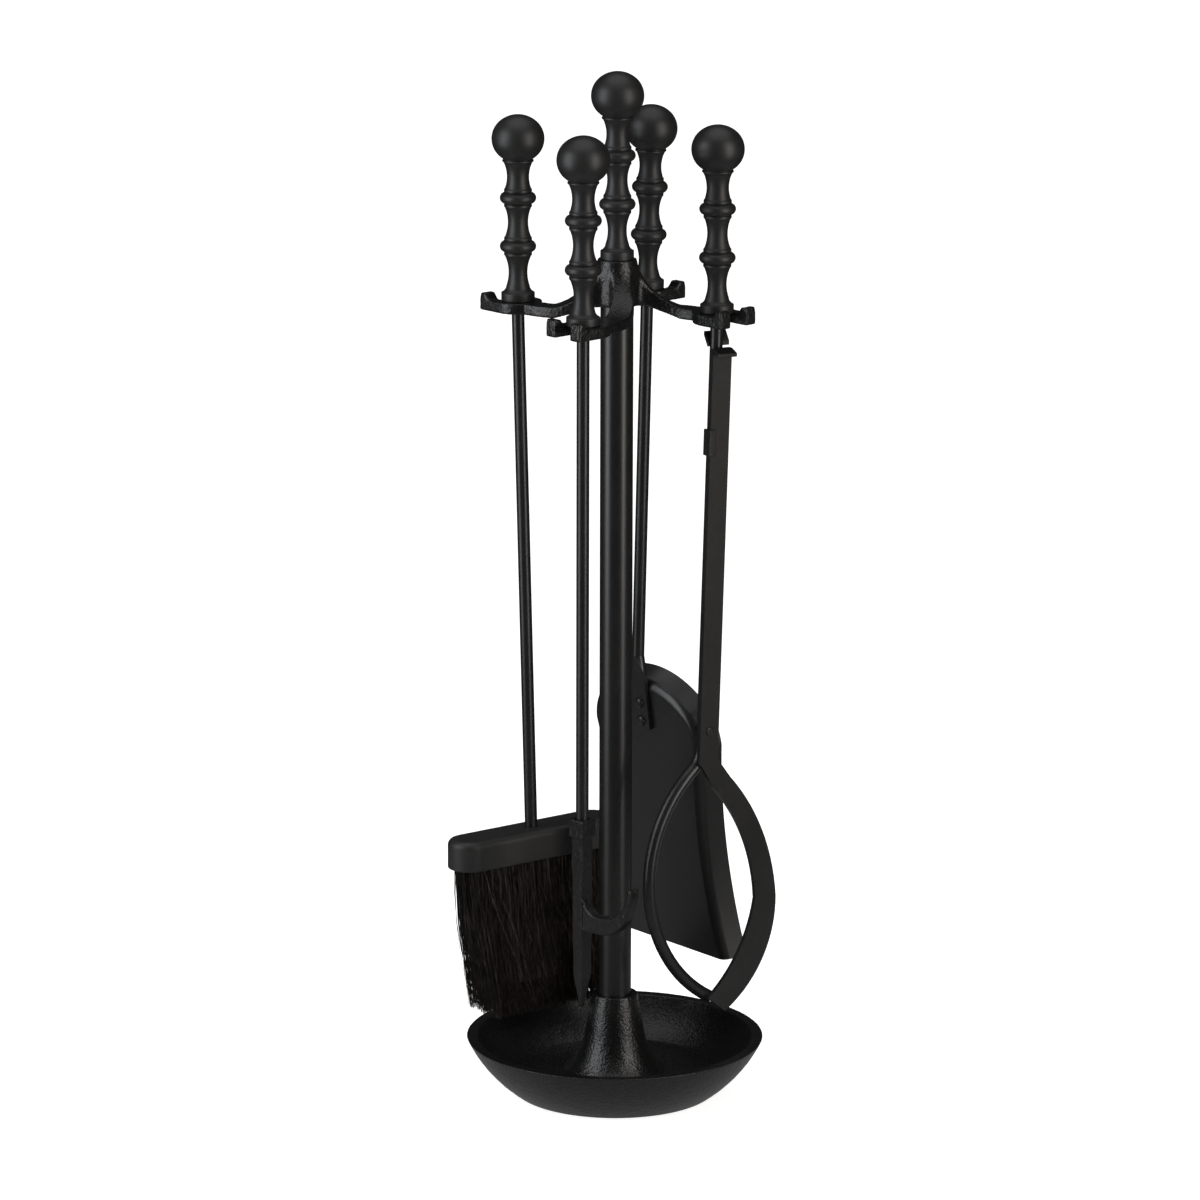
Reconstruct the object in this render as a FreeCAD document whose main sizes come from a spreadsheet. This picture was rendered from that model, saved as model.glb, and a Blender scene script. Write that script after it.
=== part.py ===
import FreeCAD, Part
import math
import os
import Sketcher
from FreeCAD import Placement, Rotation, Vector

# Fireplace tool set: a dish base, a post with a four-armed crown and a ball
# handle, and a brush, poker, shovel and pair of tongs that hang in the crown's forks.
# Millimetres, +Z up. The origin is on the floor, on the axis of the post.
# The tongs' fork opens towards +X and the others follow by quarter turns.

doc = FreeCAD.newDocument("FireplaceToolSet")
sheet = doc.addObject("Spreadsheet::Sheet", "Sizes")


# ---------------------------------------------------------------- driving sizes

SIZES = [
    # stand heights
    ("crown_top", 647.0, "floor to the top of the crown's hub"),
    ("hang_height", 611.0, "floor to the top of the fork prongs"),
    # dish base
    ("foot_radius", 77.2, "outer radius of the dish on the floor"),
    ("rim_radius", 114.7, "outer radius of the dish rim"),
    ("rim_height", 42.6, "floor to the rim"),
    ("rim_width", 8.7, "width of the flat rim"),
    ("dish_bulge", 4.8, "how far the dish wall bows outwards"),
    ("dish_floor", 15.0, "floor to the inside floor of the dish"),
    ("dish_floor_radius", 74.0, "radius of the flat inside floor"),
    ("dish_recess", 4.0, "depth of the hollow under the dish"),
    ("foot_ring", 9.0, "width of the ring that stands on the floor"),
    ("nut_recess", 10.0, "depth of the pocket for nut and washer"),
    ("nut_recess_radius", 20.0, "radius of that pocket"),
    ("socket_top", 76.0, "floor to the top of the post socket"),
    ("socket_lip", 4.8, "wall of the post socket at its top"),
    ("socket_waist", 10.2, "wall of the socket half way up"),
    ("socket_flare", 26.0, "wall of the socket on the dish floor"),
    ("cast_round", 1.2, "rounding of the rim and of the socket's top"),
    # post
    ("post_radius", 12.4, "outer radius of the post tube"),
    ("post_wall", 1.5, "wall of the post tube"),
    ("slip_gap", 0.15, "clearance round a part that slips into another"),
    ("cap_depth", 6.0, "metal of the crown above the end of the post"),
    ("tie_radius", 4.0, "radius of the threaded tie rod"),
    ("tie_grip", 26.0, "length of tie rod held in the post handle"),
    ("tie_spare", 2.0, "bore of the post handle beyond the end of the tie rod"),
    ("tie_end", 1.0, "floor to the lower end of the tie rod"),
    ("nut_flats", 13.0, "nut across flats"),
    ("nut_height", 6.4, "height of the nut"),
    ("washer_radius", 12.0, "outer radius of the washer"),
    ("washer_height", 1.6, "thickness of the washer"),
    # crown
    ("hub_lip", 2.05, "metal of the hub round the post at the top"),
    ("hub_wall", 4.05, "metal of the hub round the post between the arms"),
    ("hub_skirt", 6.0, "how far the arch under the arms starts outside the hub"),
    ("arm_sweep", 66.0, "sweep of an arm from its fork back into the hub, degrees"),
    ("web_reach", 48.0, "radius where the arm's top becomes level"),
    ("web_depth", 5.0, "how far the curved top of the arm sags"),
    ("arm_thickness", 8.5, "thickness of arm and fork"),
    ("arm_radius", 56.0, "plan radius of the arm's centre line"),
    ("arm_width", 17.0, "width of the arm"),
    ("hang_x", 67.4, "rod place in the tongs' fork, along its slot"),
    ("hang_y", 38.6, "rod place in the tongs' fork, across its slot"),
    ("slot_radius", 7.7, "half the width of a fork's slot"),
    ("prong_width", 10.5, "width of a prong"),
    ("prong_reach", 23.3, "rod centre to the end of a prong"),
    ("lug_height", 5.0, "height of the upturned end of a prong"),
    ("lug_length", 10.0, "length of that end along the prong, at its foot"),
    ("lug_slope", 4.0, "how far its inner face slopes back"),
    ("lug_draft", 0.8, "how far its end face slopes back"),
    # ball handle
    ("handle_height", 140.4, "height of a ball handle"),
    ("collar_radius", 12.6, "radius of the handle's collar"),
    ("collar_height", 6.0, "height of the collar"),
    ("cove_height", 5.0, "height of the cove over the collar"),
    ("cove_depth", 3.8, "how far that cove draws in"),
    ("lower_waist", 7.2, "radius of the lowest waist"),
    ("middle_waist", 7.6, "radius of the middle waist"),
    ("upper_waist", 8.3, "radius of the upper waist"),
    ("fillet_ring", 10.5, "radius of the narrow rings"),
    ("groove_radius", 9.8, "radius in the grooves beside the beads"),
    ("bead_radius", 13.65, "radius of the two round beads"),
    ("bead_height", 8.2, "height of a bead"),
    ("ring_height", 1.8, "height of a narrow ring"),
    ("ring_step", 0.7, "height of the groove beside a ring"),
    ("lower_bead", 41.0, "collar foot to the middle of the lower bead"),
    ("upper_bead", 77.6, "collar foot to the middle of the upper bead"),
    ("neck_height", 107.0, "collar foot to the groove under the ball"),
    ("neck_ring", 11.8, "radius of the ring under the ball"),
    ("neck_ring_bevel", 1.0, "bevel of that ring"),
    ("ball_radius", 19.8, "radius of the ball"),
    ("ball_centre", 122.0, "collar foot to the widest part of the ball"),
    ("shoulder_radius", 14.65, "radius where the ball's side meets its cap"),
    ("shoulder_height", 134.5, "collar foot to where the ball's side meets its cap"),
    ("rod_grip", 28.0, "length of rod held in a handle"),
    # rods
    ("rod_radius", 4.8, "radius of the tool rods"),
    # brush
    ("brush_lean", 1.4, "lean of the brush rod, degrees"),
    ("brush_lean_turn", 47.0, "plan direction of that lean, degrees"),
    ("brush_straight", 12.5, "straight rod under the collar, before the lean"),
    ("brush_top", 201.7, "floor to the top of the brush block"),
    ("block_length", 150.0, "length of the brush block"),
    ("block_width", 34.0, "width of the brush block"),
    ("block_height", 23.0, "height of the brush block"),
    ("block_turn", 84.0, "plan direction of the block, degrees"),
    ("block_round", 5.0, "rounding of the block's top edge"),
    ("block_socket", 12.6, "depth of the rod's hole in the block"),
    ("bristle_length", 120.0, "length of the bristles"),
    ("bristle_inset", 3.0, "edge of the block's long sides to the outermost bristles"),
    ("bristle_flare", 8.0, "how far the bristles spread across the block, on each side"),
    ("bristle_margin", 10.5, "end of the block to the outermost bristles"),
    ("bristle_gather", 4.0, "how far the tips draw in along the block, at each end"),
    ("bristle_sweep", 14.0, "how far the worn tips are swept along the block"),
    # poker
    ("poker_out", 2.5, "how far out of the middle of its slot's round the poker hangs"),
    ("poker_collar_top", 235.5, "floor to the top of the poker head"),
    ("poker_collar_height", 15.0, "height of the poker's square collar"),
    ("poker_collar_side", 14.4, "side of that collar"),
    ("poker_collar_round", 1.6, "rounding of the collar's edges"),
    ("poker_side", 11.6, "side of the shaft under the collar"),
    ("poker_socket", 15.0, "depth of the rod's hole in the poker head"),
    ("poker_waist_side", 9.8, "side of the shaft where it starts to point"),
    ("poker_waist", 114.0, "floor to where the shaft starts to point"),
    ("poker_tip", 88.5, "floor to the poker's tip"),
    ("poker_tip_side", 3.0, "side of the blunt tip"),
    ("hook_root", 158.3, "floor to the middle of the hook's root"),
    ("hook_reach", 57.0, "poker axis to the hook's point"),
    ("hook_rise", 33.5, "root to point of the hook"),
    ("hook_depth", 18.5, "height of the hook at its root"),
    ("hook_width", 9.0, "width of the hook"),
    ("hook_gusset", 5.0, "extra height of the hook's root against the shaft"),
    ("hook_point", 2.5, "thickness of the hook's blunt point"),
    # shovel
    ("shovel_lean", 1.7, "lean of the shovel, degrees"),
    ("strap_top", 308.0, "floor to where the rod is flattened"),
    ("strap_length", 45.5, "length of the flattened end"),
    ("strap_width", 17.0, "width of the flattened end"),
    ("strap_thickness", 3.4, "thickness of the flattened end"),
    ("strap_neck", 14.0, "length over which the rod goes flat"),
    ("pan_tilt", 10.0, "tilt of the pan against the rod, degrees"),
    ("pan_length", 222.0, "length of the pan"),
    ("pan_shoulder", 58.4, "half width of the pan's back at the shoulders"),
    ("pan_waist", 51.8, "half width of the pan's back at the waist"),
    ("pan_lip", 61.4, "half width of the pan's back at the lip"),
    ("pan_arch", 44.0, "height of the pan's round top"),
    ("pan_depth", 18.0, "depth of the pan's flange"),
    ("flange_spread", 7.5, "how far the flange leans outwards"),
    ("pan_sheet", 1.8, "thickness of the pan"),
    ("pan_bend", 8.0, "outside radius of the bend between back and flange"),
    ("pan_top_gap", 8.0, "strap's upper end down to the pan's edge"),
    ("rivet_radius", 2.4, "radius of a rivet's shank"),
    ("rivet_head", 4.2, "radius of a rivet's head"),
    ("rivet_dome", 2.0, "height of a rivet's head"),
    ("rivet_pitch", 15.0, "distance between the shovel's rivets"),
    ("rivet_edge", 6.0, "lower rivet to the end of the strap"),
    ("rivet_fit", 0.05, "gap between a rivet's shank and a hole it is set in"),
    ("pivot_head", 3.5, "radius of the pivot rivet's heads"),
    ("pivot_dome", 1.0, "height of the pivot rivet's heads"),
    ("pivot_ease", 0.2, "gap under the heads of the pivot rivet"),
    ("pivot_play", 0.08, "gap between the pivot rivet and the lever"),
    # tongs
    ("tongs_lean", 1.9, "lean of the tongs, degrees"),
    ("tongs_turn", 82.0, "plan direction of the jaws' plane, degrees"),
    ("tongs_kink", 12.5, "collar foot down to the bend where the rod starts to lean"),
    ("kink_half", 8.0, "rod that this bend takes up, above and below"),
    ("pivot_drop", 319.0, "collar foot down to the pivot"),
    ("lever_top", 29.0, "collar foot down to the top of the lever"),
    ("lever_width", 17.0, "width of the lever"),
    ("lever_thickness", 3.6, "thickness of the lever"),
    ("lever_gap", 0.25, "gap between lever and rod"),
    ("jaw_top", 344.0, "collar foot down to where the jaws part"),
    ("jaw_middle", 455.0, "collar foot down to the widest part of the lever's jaw"),
    ("jaw_end", 541.0, "collar foot down to the end of the jaws"),
    ("jaw_reach", 67.9, "rod axis to the outside of the lever's jaw"),
    ("jaw_width", 19.5, "width of the lever's jaw"),
    ("tip_reach", 23.5, "rod axis to the outer corner of the jaw's tip"),
    ("jaw_tip_width", 20.0, "width of the lever's jaw at its tip"),
    ("bow_reach", 45.3, "rod axis to the centre line of the bowed jaw"),
    ("bow_middle", 431.0, "collar foot down to the widest part of that bow"),
    ("bow_start", 13.0, "how far above the parting of the jaws the rod starts to bend"),
    ("bow_bend", 25.0, "radius of the bend from the straight rod into the bow"),
    ("bow_tip", 14.0, "rod axis to the end of the bowed jaw"),
    ("jaw_overlap", 11.0, "end of the bowed jaw above the end of the lever"),
    ("tab_width", 17.0, "width of the thumb tab"),
    ("tab_length", 6.8, "length of the thumb tab"),
    ("finger_tab_width", 20.0, "width of the finger tab"),
    ("finger_tab_length", 5.0, "length of the finger tab"),
    ("finger_tab_shift", 3.3, "how far the finger tab stands off the rod's middle, across the jaws"),
    ("finger_tab_slope", 58.0, "slope of the finger tab, degrees"),
    ("tab_thickness", 3.0, "thickness of finger and thumb tabs"),
    ("tab_slope", 24.0, "slope of the thumb tab, degrees"),
    ("finger_tab_drop", 26.0, "collar foot down to the finger tab"),
    ("clip_drop", 97.0, "collar foot down to the middle of the clip"),
    ("clip_height", 20.0, "height of the clip"),
    ("clip_leg", 4.0, "length of the clip's front leg"),
    ("clip_side", 8.6, "depth of the clip's side leg"),
    ("clip_sheet", 1.8, "thickness of the clip"),
]

for row, (alias, value, note) in enumerate(SIZES, start=1):
    sheet.set("A%d" % row, note)
    sheet.set("B%d" % row, str(value))
    sheet.setAlias("B%d" % row, alias)
doc.recompute()


class Size:
    """A length that carries its value and the sheet expression it comes from."""

    def __init__(self, value, text):
        self.value = float(value)
        self.text = text

    @staticmethod
    def of(item):
        """Return item as a Size, whether it is one or a plain number."""
        return item if isinstance(item, Size) else Size(item, repr(float(item)))

    def _join(self, other, sign, value):
        return Size(value, "(%s %s %s)" % (self.text, sign, other.text))

    def __add__(self, other):
        other = Size.of(other)
        return self._join(other, "+", self.value + other.value)

    def __sub__(self, other):
        other = Size.of(other)
        return self._join(other, "-", self.value - other.value)

    def __mul__(self, other):
        other = Size.of(other)
        return self._join(other, "*", self.value * other.value)

    def __truediv__(self, other):
        other = Size.of(other)
        return self._join(other, "/", self.value / other.value)

    def __neg__(self):
        return Size(-self.value, "(0 - %s)" % self.text)

    def root(self):
        """Return the square root."""
        return Size(math.sqrt(self.value), "sqrt(%s)" % self.text)

    __radd__ = __add__
    __rmul__ = __mul__

    def __rsub__(self, other):
        return Size.of(other) - self


S = {alias: Size(value, "Sizes." + alias) for alias, value, note in SIZES}
parts = {}


# ---------------------------------------------------------------- building helpers

def place(name, spot, rotation=None):
    """Stand a sub-part's body at spot, a triple of sizes, turned by rotation."""
    body = parts[name]
    body.Placement = Placement(Vector(*(Size.of(c).value for c in spot)), rotation or Rotation())
    for axis, size in zip("xyz", spot):
        body.setExpression("Placement.Base." + axis, Size.of(size).text)


def new_part(name):
    """Start the PartDesign body of one sub-part."""
    body = doc.addObject("PartDesign::Body", name)
    body.Label = name
    parts[name] = body
    return body


def origin_item(body, role):
    """Find one of a body's own origin planes or axes by its role."""
    return next(item for item in body.Origin.OriginFeatures if item.Role == role)


def pin(sketch, geometry, position, x, y):
    """Hold a sketch point at (x, y) from the sketch's origin."""
    for kind, size in (("DistanceX", x), ("DistanceY", y)):
        size = Size.of(size)
        index = sketch.addConstraint(
            Sketcher.Constraint(kind, -1, 1, geometry, position, size.value))
        sketch.setExpression("Constraints[%d]" % index, size.text)


def vector(x, y):
    return Vector(Size.of(x).value, Size.of(y).value, 0)


def arc_middle(centre_x, centre_y, start, end):
    """Return the middle of the shorter arc round a centre from start to end."""
    radius = ((start[0] - centre_x) * (start[0] - centre_x)
              + (start[1] - centre_y) * (start[1] - centre_y)).root()
    x, y = (start[0] + end[0]) / 2 - centre_x, (start[1] + end[1]) / 2 - centre_y
    length = (x * x + y * y).root()
    return centre_x + x * radius / length, centre_y + y * radius / length


def trace(sketch, corners, closed=True):
    """Draw lines through corners. A corner (x, y, mid_x, mid_y) is reached by an arc."""
    previous = corners[-1] if closed else corners[0]
    first_end = None
    last_end = None
    for corner in corners if closed else corners[1:]:
        start, end = vector(*previous[:2]), vector(*corner[:2])
        if len(corner) == 2:
            edge = sketch.addGeometry(Part.LineSegment(start, end))
            ends = (1, 2)
        else:
            middle = vector(*corner[2:])
            edge = sketch.addGeometry(Part.Arc(start, middle, end))
            turn = (middle - start).cross(end - middle).z
            ends = (1, 2) if turn > 0 else (2, 1)
            point = sketch.addGeometry(Part.Point(middle), True)
            pin(sketch, point, 1, *corner[2:])
            sketch.addConstraint(Sketcher.Constraint("PointOnObject", point, 1, edge))
        pin(sketch, edge, ends[0], *previous[:2])
        if last_end:
            sketch.addConstraint(Sketcher.Constraint("Coincident", *last_end, edge, ends[0]))
        first_end = first_end or (edge, ends[0])
        last_end = (edge, ends[1])
        previous = corner
    if closed:
        sketch.addConstraint(Sketcher.Constraint("Coincident", *last_end, *first_end))
    else:
        pin(sketch, *last_end, *previous[:2])


def new_sketch(body, name, role, lift=0):
    """Attach a sketch to one of the body's origin planes, lifted along its normal."""
    sketch = body.newObject("Sketcher::SketchObject", name)
    sketch.AttachmentSupport = [(origin_item(body, role), "")]
    sketch.MapMode = "FlatFace"
    sketch.AttachmentOffset = Placement(Vector(0, 0, Size.of(lift).value), Rotation())
    sketch.setExpression("AttachmentOffset.Base.z", Size.of(lift).text)
    return sketch


def outline(body, name, role, corners, lift=0):
    """Sketch one closed outline."""
    sketch = new_sketch(body, name, role, lift)
    trace(sketch, corners)
    return sketch


def circles(body, name, role, rings, lift=0):
    """Sketch circles given as (x, y, radius)."""
    sketch = new_sketch(body, name, role, lift)
    for x, y, radius in rings:
        radius = Size.of(radius)
        ring = sketch.addGeometry(Part.Circle(vector(x, y), Vector(0, 0, 1), radius.value))
        pin(sketch, ring, 3, x, y)
        index = sketch.addConstraint(Sketcher.Constraint("Radius", ring, radius.value))
        sketch.setExpression("Constraints[%d]" % index, radius.text)
    return sketch


def extrude(body, kind, sketch, length, symmetric=False, reversed_=False, taper=0):
    """Add a Pad or a Pocket of one sketch."""
    feature = body.newObject("PartDesign::" + kind, sketch.Name + "_" + kind.lower())
    feature.Profile = (sketch, [""])
    feature.setExpression("Length", Size.of(length).text)
    feature.SideType = "Symmetric" if symmetric else "One side"
    feature.Reversed = reversed_
    feature.setExpression("TaperAngle", Size.of(taper).text)
    sketch.Visibility = False
    return feature


def spin(body, kind, sketch):
    """Add a full Revolution or Groove of a sketch about its own vertical axis."""
    feature = body.newObject("PartDesign::" + kind, sketch.Name + "_" + kind.lower())
    feature.Profile = (sketch, [""])
    feature.ReferenceAxis = (sketch, ["V_Axis"])
    feature.Angle = 360
    return feature


def loft(body, sections, kind="AdditiveLoft"):
    """Add, or with SubtractiveLoft cut, a ruled loft through sketches."""
    feature = body.newObject("PartDesign::" + kind, sections[0].Name + "_loft")
    feature.Profile = (sections[0], [""])
    feature.Sections = [(section, [""]) for section in sections[1:]]
    feature.Ruled = True
    return feature


def pipe(body, sketch, path, transition="Transformed"):
    """Add a pipe of a sketched section along a sketched path."""
    feature = body.newObject("PartDesign::AdditivePipe", sketch.Name + "_pipe")
    feature.Profile = (sketch, [""])
    feature.Spine = (path, [])
    feature.Transition = transition
    return feature


def quarter_turns(body, originals):
    """Repeat features four times round the body's Z axis."""
    feature = body.newObject("PartDesign::PolarPattern", originals[0].Name + "_turns")
    feature.Originals = originals
    feature.Axis = (origin_item(body, "Z_Axis"), [""])
    feature.Angle = 360
    feature.Occurrences = 4
    body.Tip = feature
    return feature


def soften(body, radius, wanted):
    """Round the edges of the body's last feature that wanted(edge) picks."""
    doc.recompute()
    base = body.Tip
    names = ["Edge%d" % i for i, edge in enumerate(base.Shape.Edges, start=1) if wanted(edge)]
    feature = body.newObject("PartDesign::Fillet", base.Name + "_fillet")
    feature.Base = (base, names)
    feature.setExpression("Radius", Size.of(radius).text)
    return feature


def at_height(edge, z, slack=0.01):
    """True for an edge that lies wholly at one height."""
    box = edge.BoundBox
    return abs(box.ZMin - z) < slack and abs(box.ZMax - z) < slack


def along_back(edge, y, lip):
    """True for an edge of the pan that lies at depth y and isn't the lip."""
    box = edge.BoundBox
    return abs(box.YMin - y) < 0.01 and abs(box.YMax - y) < 0.01 and box.ZMax > lip + 0.01


# ---------------------------------------------------------------- stand

def base_bowl():
    body = new_part("base_bowl")
    bore = S["post_radius"] + S["slip_gap"]
    tie_hole = S["tie_radius"] + S["slip_gap"]
    floor = S["dish_floor"]
    rim = S["rim_height"]
    wall_half = (S["foot_radius"] + S["rim_radius"]) / 2 + S["dish_bulge"]
    inner_rim = S["rim_radius"] - S["rim_width"]
    inner_half = (S["dish_floor_radius"] + inner_rim) / 2 + S["dish_bulge"]
    socket_half = (S["socket_top"] + floor) / 2
    profile = [
        (tie_hole, S["nut_recess"]),
        (S["nut_recess_radius"], S["nut_recess"]),
        (S["nut_recess_radius"], S["dish_recess"]),
        (S["foot_radius"] - S["foot_ring"], S["dish_recess"]),
        (S["foot_radius"] - S["foot_ring"], 0),
        (S["foot_radius"], 0),
        (S["rim_radius"], rim, wall_half, rim / 2),
        (inner_rim, rim),
        (S["dish_floor_radius"], floor, inner_half, (rim + floor) / 2),
        (bore + S["socket_flare"], floor),
        (bore + S["socket_waist"], socket_half,
         bore + S["socket_waist"] * 1.5, (floor + socket_half) / 2),
        (bore + S["socket_lip"], S["socket_top"]),
        (bore, S["socket_top"]),
        (bore, floor),
        (tie_hole, floor),
    ]
    spin(body, "Revolution", outline(body, "bowl_profile", "XZ_Plane", profile))
    tops = (rim.value, S["socket_top"].value)
    soften(body, S["cast_round"], lambda edge: any(at_height(edge, z) for z in tops))


def post_tube():
    body = new_part("post_tube")
    foot = S["dish_floor"]
    rings = [(0, 0, S["post_radius"]), (0, 0, S["post_radius"] - S["post_wall"])]
    section = circles(body, "post_section", "XY_Plane", rings, foot)
    extrude(body, "Pad", section, S["crown_top"] - S["cap_depth"] - foot)


def hook_crown():
    body = new_part("hook_crown")
    top, level = S["crown_top"], S["hang_height"]
    foot = level - S["arm_thickness"]
    centre_x = S["hang_x"] - S["slot_radius"] - S["prong_width"] / 2
    centre_y = S["hang_y"] - S["arm_radius"]
    outer, inner = S["arm_radius"] + S["arm_width"] / 2, S["arm_radius"] - S["arm_width"] / 2

    def on_arc(radius, degrees):
        angle = math.radians(degrees)
        return centre_x + radius * math.cos(angle), centre_y + radius * math.sin(angle)

    bore = S["post_radius"] + S["slip_gap"]
    hub_top, hub_side = bore + S["hub_lip"], bore + S["hub_wall"]
    hub = circles(body, "hub_section", "XY_Plane", [(0, 0, hub_side)], foot)
    extrude(body, "Pad", hub, top - foot)
    fork_end = 90
    hub_end = fork_end + S["arm_sweep"].value
    half_way = (fork_end + hub_end) / 2
    arm = [
        (centre_x, centre_y + inner, *on_arc(inner, half_way)),
        (centre_x, centre_y + outer),
        (*on_arc(outer, hub_end), *on_arc(outer, half_way)),
        on_arc(inner, hub_end),
    ]
    arm_pad = extrude(body, "Pad", outline(body, "arm_plan", "XY_Plane", arm, foot), top - foot)
    half = S["slot_radius"] + S["prong_width"]
    x, y, slot = S["hang_x"], S["hang_y"], S["slot_radius"]
    tip = x + S["prong_reach"]
    fork = [
        (x, y - half, x - half, y), (tip, y - half), (tip, y - slot), (x, y - slot),
        (x, y + slot, x - slot, y), (tip, y + slot), (tip, y + half), (x, y + half),
    ]
    fork_plan = outline(body, "fork_plan", "XY_Plane", fork, foot)
    fork_pad = extrude(body, "Pad", fork_plan, S["arm_thickness"])
    quarter_turns(body, [arm_pad, fork_pad])
    far = x + y
    reach = S["web_reach"]
    web_x = (hub_top + reach) / 2 - S["web_depth"]
    web_z = (top + level) / 2 - S["web_depth"]
    above = [(hub_top, top + 1), (hub_top, top), (reach, level, web_x, web_z),
             (far, level), (far, top + 1)]
    spin(body, "Groove", outline(body, "above_arms", "XZ_Plane", above))
    skirt = hub_side + S["hub_skirt"]
    arch = [(0, foot - 1), (0, level), (skirt, level), (reach, foot), (reach, foot - 1)]
    spin(body, "Groove", outline(body, "below_arms", "XZ_Plane", arch))
    lug_foot, lug_top = tip - S["lug_length"], level + S["lug_height"]
    lug = [(lug_foot, level), (tip, level), (tip - S["lug_draft"], lug_top),
           (lug_foot + S["lug_slope"], lug_top)]
    prong = slot + S["prong_width"] / 2
    lug_sides = [outline(body, name, "XZ_Plane", lug, -(y + middle))
                 for name, middle in (("near_lug", -prong), ("far_lug", prong))]
    lug_pads = [extrude(body, "Pad", side, S["prong_width"], symmetric=True) for side in lug_sides]
    quarter_turns(body, lug_pads)
    seat = circles(body, "tube_seat", "XY_Plane", [(0, 0, bore)], foot)
    extrude(body, "Pocket", seat, top - S["cap_depth"] - foot, reversed_=True)
    hole = circles(body, "tie_hole", "XY_Plane", [(0, 0, S["tie_radius"] + S["slip_gap"])], foot)
    extrude(body, "Pocket", hole, top - foot, reversed_=True)


def tie_rod():
    body = new_part("tie_rod")
    section = circles(body, "tie_section", "XY_Plane", [(0, 0, S["tie_radius"])], S["tie_end"])
    extrude(body, "Pad", section, S["crown_top"] + S["tie_grip"] - S["tie_end"])


def base_washer():
    body = new_part("base_washer")
    rings = [(0, 0, S["washer_radius"]), (0, 0, S["tie_radius"] + S["slip_gap"])]
    section = circles(body, "washer_section", "XY_Plane", rings, S["nut_recess"] - S["washer_height"])
    extrude(body, "Pad", section, S["washer_height"])


def base_nut():
    body = new_part("base_nut")
    corner = S["nut_flats"] / math.sqrt(3)
    lift = S["nut_recess"] - S["washer_height"] - S["nut_height"]
    sixths = [math.radians(60 * i) for i in range(6)]
    hexagon = [(corner * math.cos(a), corner * math.sin(a)) for a in sixths]
    extrude(body, "Pad", outline(body, "nut_section", "XY_Plane", hexagon, lift), S["nut_height"])
    thread = circles(body, "nut_thread", "XY_Plane", [(0, 0, S["tie_radius"])], lift)
    extrude(body, "Pocket", thread, S["nut_height"], reversed_=True)


# ---------------------------------------------------------------- ball handles

def ball_handle(name, bore, depth):
    """One ball handle, turned about Z, with its collar's foot at the body's origin."""
    body = new_part(name)
    collar, ring, groove = S["collar_radius"], S["fillet_ring"], S["groove_radius"]
    half_bead = S["bead_height"] / 2
    step, lip = S["ring_step"], S["ring_height"]
    collar_top = S["collar_height"]
    cove_top, cove = collar_top + S["cove_height"], S["cove_depth"]
    profile = [
        (bore, 0), (collar, 0), (collar, collar_top),
        (collar - cove, cove_top, collar - cove * 0.7, collar_top + S["cove_height"] * 0.4),
    ]

    def bead(middle, waist, waist_height):
        """Cove up to the ring under a bead, the bead, and the ring over it."""
        low, high = middle - half_bead, middle + half_bead
        return [
            (groove, low - step - lip - step, waist, waist_height),
            (ring, low - step - lip), (ring, low - step),
            (groove, low - step / 2), (ring, low),
            (ring, high, S["bead_radius"], middle),
            (groove, high + step / 2), (ring, high + step), (ring, high + step + lip),
            (groove, high + step + lip + step),
        ]

    first, second = S["lower_bead"], S["upper_bead"]
    profile += bead(first, S["lower_waist"], (cove_top + first - half_bead) / 2)
    profile += bead(second, S["middle_waist"], (first + second) / 2)
    neck, bevel = S["neck_ring"], S["neck_ring_bevel"]
    neck_top, neck_foot = S["neck_height"], S["neck_height"] - lip
    ball, middle, top = S["ball_radius"], S["ball_centre"], S["handle_height"]
    shoulder = (S["shoulder_radius"], S["shoulder_height"])
    drop = top - shoulder[1]
    cap_radius = (shoulder[0] * shoulder[0] + drop * drop) / (2 * drop)
    crest = (Size.of(0), top)
    profile += [
        (neck - bevel, neck_foot - step, S["upper_waist"], (second + half_bead + neck_foot) / 2),
        (neck, neck_foot), (neck, neck_top - step), (neck - bevel, neck_top),
        (*shoulder, ball, middle),
        (*crest, *arc_middle(0, top - cap_radius, shoulder, crest)),
        (0, depth), (bore, depth),
    ]
    spin(body, "Revolution", outline(body, name + "_profile", "XZ_Plane", profile))


# ---------------------------------------------------------------- where the tools hang

def hanging_place(quarter):
    """Rod place after quarter turns anticlockwise from the tongs' fork."""
    x, y = S["hang_x"], S["hang_y"]
    for _ in range(quarter % 4):
        x, y = -y, x
    return x, y


def edge_rise(lean):
    """How far a leaning collar is lifted so that its low edge rests on the fork."""
    return S["collar_radius"] * math.sin(math.radians(S[lean].value))


UP = Vector(0, 0, 1)
ALONG_Y = Vector(0, 1, 0)


# ---------------------------------------------------------------- brush

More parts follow.
